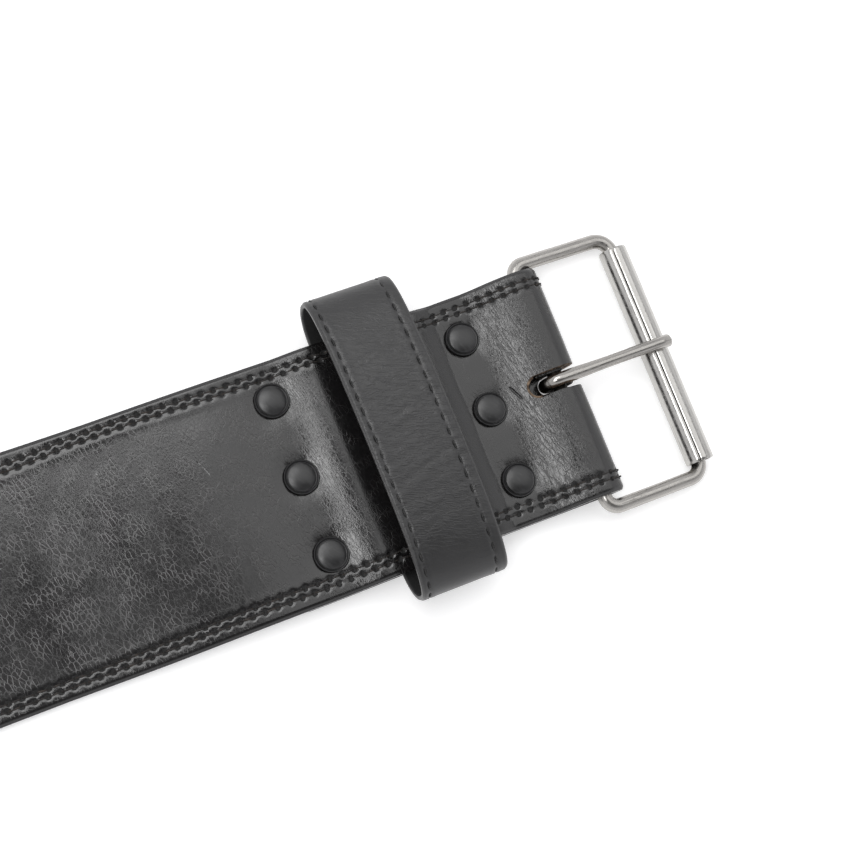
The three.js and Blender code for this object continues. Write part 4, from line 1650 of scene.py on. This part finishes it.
@dataclass
class Buckle:
    """The frame, its roller and its prong."""

    wire_diameter: float = 6.2 * MM
    bar_spacing: float = 46.9 * MM
    bar_corner: float = 5.2 * MM
    roller_corner: float = 7 * MM
    butt_gap: float = 0.3 * MM
    roller_wall: float = 1.2 * MM
    roller_bar_gap: float = 0.5 * MM
    seam_width: float = 0.5 * MM
    seam_from_top_deg: float = 18
    prong_diameter: float = 5 * MM
    prong_eye_play: float = 0.35 * MM
    prong_past_roller: float = 4 * MM
    prong_tip_drop: float = 0.9 * MM
    clearance: float = 0.3 * MM

    def __post_init__(self) -> None:
        """Reads the buckle's place from the frame."""
        joints = {joint["name"]: joint for joint in frame["joints"]}
        self.bar = Vector(joints["frame_hinge"]["pos_m"])
        self.roller_centre = Vector(joints["roller_spin"]["pos_m"])
        low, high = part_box("buckle_frame")
        self.middle_y = box_middle("buckle_frame")[1]
        self.half_width = (high.y - low.y) / 2 - self.wire_diameter / 2
        self.bar.y = self.middle_y
        roller_low, roller_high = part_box("buckle_roller")
        self.roller_radius = (roller_high.x - roller_low.x) / 2
        far_bar_z = roller_low.z + self.roller_wall + self.roller_bar_gap + self.wire_diameter / 2
        self.roller_lift = self.roller_centre.z - far_bar_z
        self.tilt = math.asin((self.bar.z - far_bar_z) / self.bar_spacing)
        self.place = Matrix.Translation(self.bar) @ Matrix.Rotation(self.tilt, 4, "Y")

    def in_space(self, points: Array) -> Array:
        """Puts points of the buckle's own plane into space."""
        turn = np.array(self.place)
        return points @ turn[:3, :3].T + turn[:3, 3]

    @staticmethod
    def arc(centre: tuple[float, float], radius: float, start_deg: float, end_deg: float) -> Array:
        """Returns close points of an arc in the buckle's plane."""
        angle = np.radians(np.linspace(start_deg, end_deg, 24))
        x, y = centre[0] + radius * np.cos(angle), centre[1] + radius * np.sin(angle)
        return np.stack([x, y, 0 * angle], axis=1)

    def frame_wire(self, finish: bpy.types.Material) -> bpy.types.Object:
        """Makes the frame's wire, its butt joint hidden in the fold."""
        half, far = self.half_width, self.bar_spacing
        bar, rolled = self.bar_corner, self.roller_corner
        gap = self.butt_gap / 2
        points = np.concatenate([
            [[0, -gap, 0]],
            self.arc((bar, bar - half), bar, 180, 270),
            self.arc((far - rolled, rolled - half), rolled, 270, 360),
            self.arc((far - rolled, half - rolled), rolled, 0, 90),
            self.arc((bar, half - bar), bar, 90, 180),
            [[0, gap, 0]],
        ])
        line = Line(self.in_space(points))
        radius = self.wire_diameter / 2
        normal = Vector(self.place.to_3x3() @ Vector((0, 0, 1)))

        def shape(share: Array, angle: Array) -> tuple[Array, Array]:
            swell = 1 + 0.006 * np.sin(share * 40) + 0.004 * np.sin(share * 97 + angle)
            return radius * swell * np.cos(angle), radius * swell * np.sin(angle)

        piece = finished_object("frame_wire", Wire(line, radius, normal, 32, 0.6 * MM).build(shape))
        piece.data.materials.append(finish)
        seat(piece, Body.FRAME, Slot.BUCKLE, "buckle_frame")
        return piece

    def roller(self, finish: bpy.types.Material) -> bpy.types.Object:
        """Makes the roller's tube, open along its seam, with eased rims."""
        low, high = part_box("buckle_roller")
        outer = self.roller_radius
        inner = outer - self.roller_wall
        centre = self.roller_centre
        seam = math.radians(90 - self.seam_from_top_deg)
        half_seam = self.seam_width / 2
        ease = 0.22 * MM
        outer_count, inner_count = 84, 48
        outer_angles = np.linspace(half_seam / outer, 2 * math.pi - half_seam / outer, outer_count)
        inner_angles = np.linspace(2 * math.pi - half_seam / inner, half_seam / inner, inner_count)
        outer_ring = np.stack([np.full(outer_count, outer), outer_angles + seam], axis=1)
        outer_ring[[0, -1], 0] -= ease
        outer_ring[[1, -2], 0] -= ease * 0.15
        inner_ring = np.stack([np.full(inner_count, inner), inner_angles + seam], axis=1)
        ring = np.concatenate([outer_ring, inner_ring])
        is_outer = np.arange(len(ring)) < outer_count
        length = high.y - low.y
        rim, middle = np.array([0, 0.25, 0.6]), np.linspace(1.2, length / MM - 1.2, 90)
        marks = np.concatenate([rim, middle, (length / MM - rim)[::-1]]) * MM
        from_end = np.minimum(marks, length - marks)
        eased = ease * (1 - smooth(from_end, 0, 0.6 * MM))

        def place(station: Array, spot: Array) -> tuple[Array, dict[str, Array]]:
            radius = ring[spot, 0] - np.where(is_outer[spot], eased[station], -eased[station] * 0.3)
            angle = ring[spot, 1]
            points = np.stack([
                centre.x - radius * np.cos(angle),
                low.y + marks[station],
                centre.z + radius * np.sin(angle),
            ], axis=1)
            lay = np.stack([marks[station], outer * np.cos(angle), outer * np.sin(angle)], axis=1)
            return points, {"metal": lay}

        piece = finished_object("roller_tube", swept_ring(len(ring), len(marks), place), 50)
        piece.data.materials.append(finish)
        seat(piece, Body.ROLLER, Slot.ROLLER, "buckle_roller")
        return piece

    def prong(self, finish: bpy.types.Material) -> bpy.types.Object:
        """Makes the prong: its eye round the bar, its shank and its flattened tip."""
        radius = self.prong_diameter / 2
        wire = self.wire_diameter / 2
        eye = wire + self.prong_eye_play + radius
        rise = self.roller_lift + self.roller_radius + self.clearance + radius - eye
        slope = math.asin(rise / self.bar_spacing)
        turn = np.linspace(math.radians(348), math.pi / 2 + slope, 70)
        around = np.stack([eye * np.cos(turn), 0 * turn, eye * np.sin(turn)], axis=1)
        over = np.array([self.bar_spacing, 0, eye + rise])
        past = np.array([self.bar_spacing + self.prong_past_roller, 0, over[2] - self.prong_tip_drop])
        handle = np.array([self.bar_spacing + self.prong_past_roller / 2, 0, over[2]])
        t = np.linspace(0, 1, 16)[:, None]
        tip = over * (1 - t) ** 2 + 2 * handle * t * (1 - t) + past * t * t
        points = np.concatenate([around, tip])
        points[:, 1] += box_middle("buckle_prong")[1] - self.middle_y
        line = Line(self.in_space(points))
        across = Vector((0, 1, 0))

        def shape(share: Array, angle: Array) -> tuple[Array, Array]:
            at = np.clip((share - 0.35) / 0.65, 0, 1)
            width = 1.1 - 0.12 * smooth(at, 0.1, 0.45) + 0.02 * smooth(at, 0.45, 0.85)
            width += 0.1 * smooth(at, 0.86, 1.0)
            flat = 1 - 0.12 * smooth(at, 0.88, 1.0)
            rounding = 1 - 0.16 * smooth(share, 0.992, 1.0) ** 2
            return radius * width * rounding * np.cos(angle), radius * flat * rounding * np.sin(angle)

        piece = finished_object("prong_wire", Wire(line, radius, across, 28, 0.5 * MM).build(shape), 50)
        piece.data.materials.append(finish)
        seat(piece, Body.PRONG, Slot.BUCKLE, "buckle_prong")
        return piece


@dataclass(frozen=True)
class Softbox:
    """A broad lamp over the belt.

    Attributes:
        name: Name of the lamp.
        right: Its middle's place along the picture's right.
        up: Its middle's place along the picture's up.
        height: Its height over the floor.
        width: Its size along the picture's right.
        depth: Its size along the picture's up.
        power: Its power in watts.
    """

    name: str
    right: float
    up: float
    height: float
    width: float
    depth: float
    power: float


@dataclass
class Studio:
    """The floor, the lamps and the camera at the photograph's viewing angle.

    The softboxes lie along the picture's sides. The surroundings dim between two heights, given
    as the Z of the direction, to a share of their strength overhead.
    """

    camera_place: Vector = field(default_factory=lambda: Vector((-181.3, -85.7, 689.7)) * MM)
    camera_aim: Vector = field(default_factory=lambda: Vector((16.82, 3.87, 0)) * MM)
    picture_turn_deg: float = 22.14
    focal_pixels: float = 1750
    picture_pixels: float = 852
    sensor_mm: float = 36
    surroundings: Colour = (0.62, 0.62, 0.63)
    surroundings_strength: float = 1.45
    dims_from_z: float = 0.45
    dims_to_z: float = 0.95
    overhead_share: float = 0.12
    floor_colour: Colour = (0.88, 0.88, 0.88)
    floor_glow: float = 0.38
    lamp_turn_deg: float = 20
    softboxes: tuple[Softbox, ...] = (
        Softbox("broad_softbox", 0.505, 0.5, 1.25, 1.11, 1.1, 4.45),
        Softbox("left_softbox", -0.61, -0.16, 1.25, 0.5, 0.56, 5.0),
        Softbox("back_softbox", -0.45, 0.55, 1.25, 0.84, 0.7, 6.0),
    )

    def axes(self) -> tuple[Vector, Vector, Vector]:
        """Returns the picture's right and up and the way that the camera looks."""
        look = (self.camera_aim - self.camera_place).normalized()
        turn = math.radians(self.picture_turn_deg)
        hint = Vector((math.sin(turn), math.cos(turn), 0))
        right = look.cross(hint).normalized()
        return right, right.cross(look), look

    def camera(self) -> None:
        """Sets the camera."""
        right, up, look = self.axes()
        lens = bpy.data.cameras.new("view")
        lens.sensor_width = self.sensor_mm
        lens.lens = self.focal_pixels / self.picture_pixels * self.sensor_mm
        lens.clip_start = 0.01
        camera = linked("view", lens)
        turn = Matrix((right, up, -look)).transposed().to_4x4()
        camera.matrix_world = Matrix.Translation(self.camera_place) @ turn
        bpy.context.scene.camera = camera

    def lamps(self) -> None:
        """Hangs the softboxes, which are laid out along the picture's sides."""
        turn = math.radians(self.lamp_turn_deg)
        right = Vector((math.cos(turn), -math.sin(turn), 0))
        up = Vector((math.sin(turn), math.cos(turn), 0))
        down = Matrix((right, up, Vector((0, 0, 1)))).transposed().to_4x4()
        for box in self.softboxes:
            lamp = bpy.data.lights.new(box.name, "AREA")
            lamp.shape = "RECTANGLE"
            lamp.size = box.width
            lamp.size_y = box.depth
            lamp.energy = box.power
            place = right * box.right + up * box.up + Vector((0, 0, box.height))
            linked(box.name, lamp).matrix_world = Matrix.Translation(place) @ down

    def world(self) -> None:
        """Surrounds the belt with soft pale light that dims overhead."""
        world = bpy.data.worlds.new("studio")
        world.use_nodes = True
        bpy.context.scene.world = world
        tree = world.node_tree
        background = tree.nodes["Background"]
        direction = tree.nodes.new("ShaderNodeTexCoord")
        parts = tree.nodes.new("ShaderNodeSeparateXYZ")
        fade = tree.nodes.new("ShaderNodeMapRange")
        fade.interpolation_type = "SMOOTHSTEP"
        fade.inputs["From Min"].default_value = self.dims_from_z
        fade.inputs["From Max"].default_value = self.dims_to_z
        fade.inputs["To Min"].default_value = 1.0
        fade.inputs["To Max"].default_value = self.overhead_share
        strength = tree.nodes.new("ShaderNodeMath")
        strength.operation = "MULTIPLY"
        strength.inputs[1].default_value = self.surroundings_strength
        tree.links.new(direction.outputs["Generated"], parts.inputs[0])
        tree.links.new(parts.outputs["Z"], fade.inputs["Value"])
        tree.links.new(fade.outputs["Result"], strength.inputs[0])
        tree.links.new(strength.outputs[0], background.inputs["Strength"])
        background.inputs["Color"].default_value = (*self.surroundings, 1)

    def floor(self) -> None:
        """Lays a plain pale floor that ends far outside the view."""
        bm = bmesh.new()
        bmesh.ops.create_grid(bm, x_segments=1, y_segments=1, size=6)
        bmesh.ops.translate(bm, verts=bm.verts, vec=(0, 0, -0.02 * MM))
        piece = finished_object("floor", bm)
        wiring = Wiring("pale_floor")
        grit = wiring.noise(wiring.place(), 300)
        wiring.set(
            Base_Color=self.floor_colour,
            Roughness=wiring.step(grit, 0.3, 0.7, 0.75, 0.85),
            Specular_IOR_Level=0.2,
            Emission_Color=(1.0, 1.0, 1.0),
            Emission_Strength=self.floor_glow,
        )
        piece.data.materials.append(wiring.material)

    def build(self) -> None:
        """Sets everything round the belt."""
        self.camera()
        self.lamps()
        self.world()
        self.floor()
        bpy.context.scene.view_settings.view_transform = "Standard"


def main() -> None:
    """Builds the belt's looks piece by piece."""
    logging.basicConfig(level=logging.INFO, format="%(name)s: %(message)s")
    Studio().build()
    seam = SeamPattern()
    course = StrapCourse()
    track = EdgeTrack(course, seam)
    Strap(course, track, seam).build(StrapLeather().build(), CutEdge().build())
    strap_thread = Thread("strap_thread", (0.006, 0.0042, 0.0034), (0.026, 0.018, 0.013))
    StrapStitching(course, track, seam).build(strap_thread.build())
    keeper = Keeper(KeeperCourse())
    keeper.leather(KeeperLeather().build())
    keeper.stitches(Thread("keeper_thread", (0.004, 0.004, 0.004), (0.02, 0.019, 0.019)).build())
    enamel = BlackEnamel().build()
    for node in RIVET_NODES:
        Rivet(node).build(enamel)
    buckle = Buckle()
    buckle.frame_wire(Nickel("frame_nickel").build())
    sheet = Nickel(
        "roller_sheet_nickel", (0.52, 0.51, 0.49), (0.24, 0.23, 0.22), roughness=0.2, line_mm=0.016,
    )
    buckle.roller(sheet.build())
    buckle.prong(Nickel("prong_nickel", roughness=0.23).build())


if __name__ == "__main__":
    main()
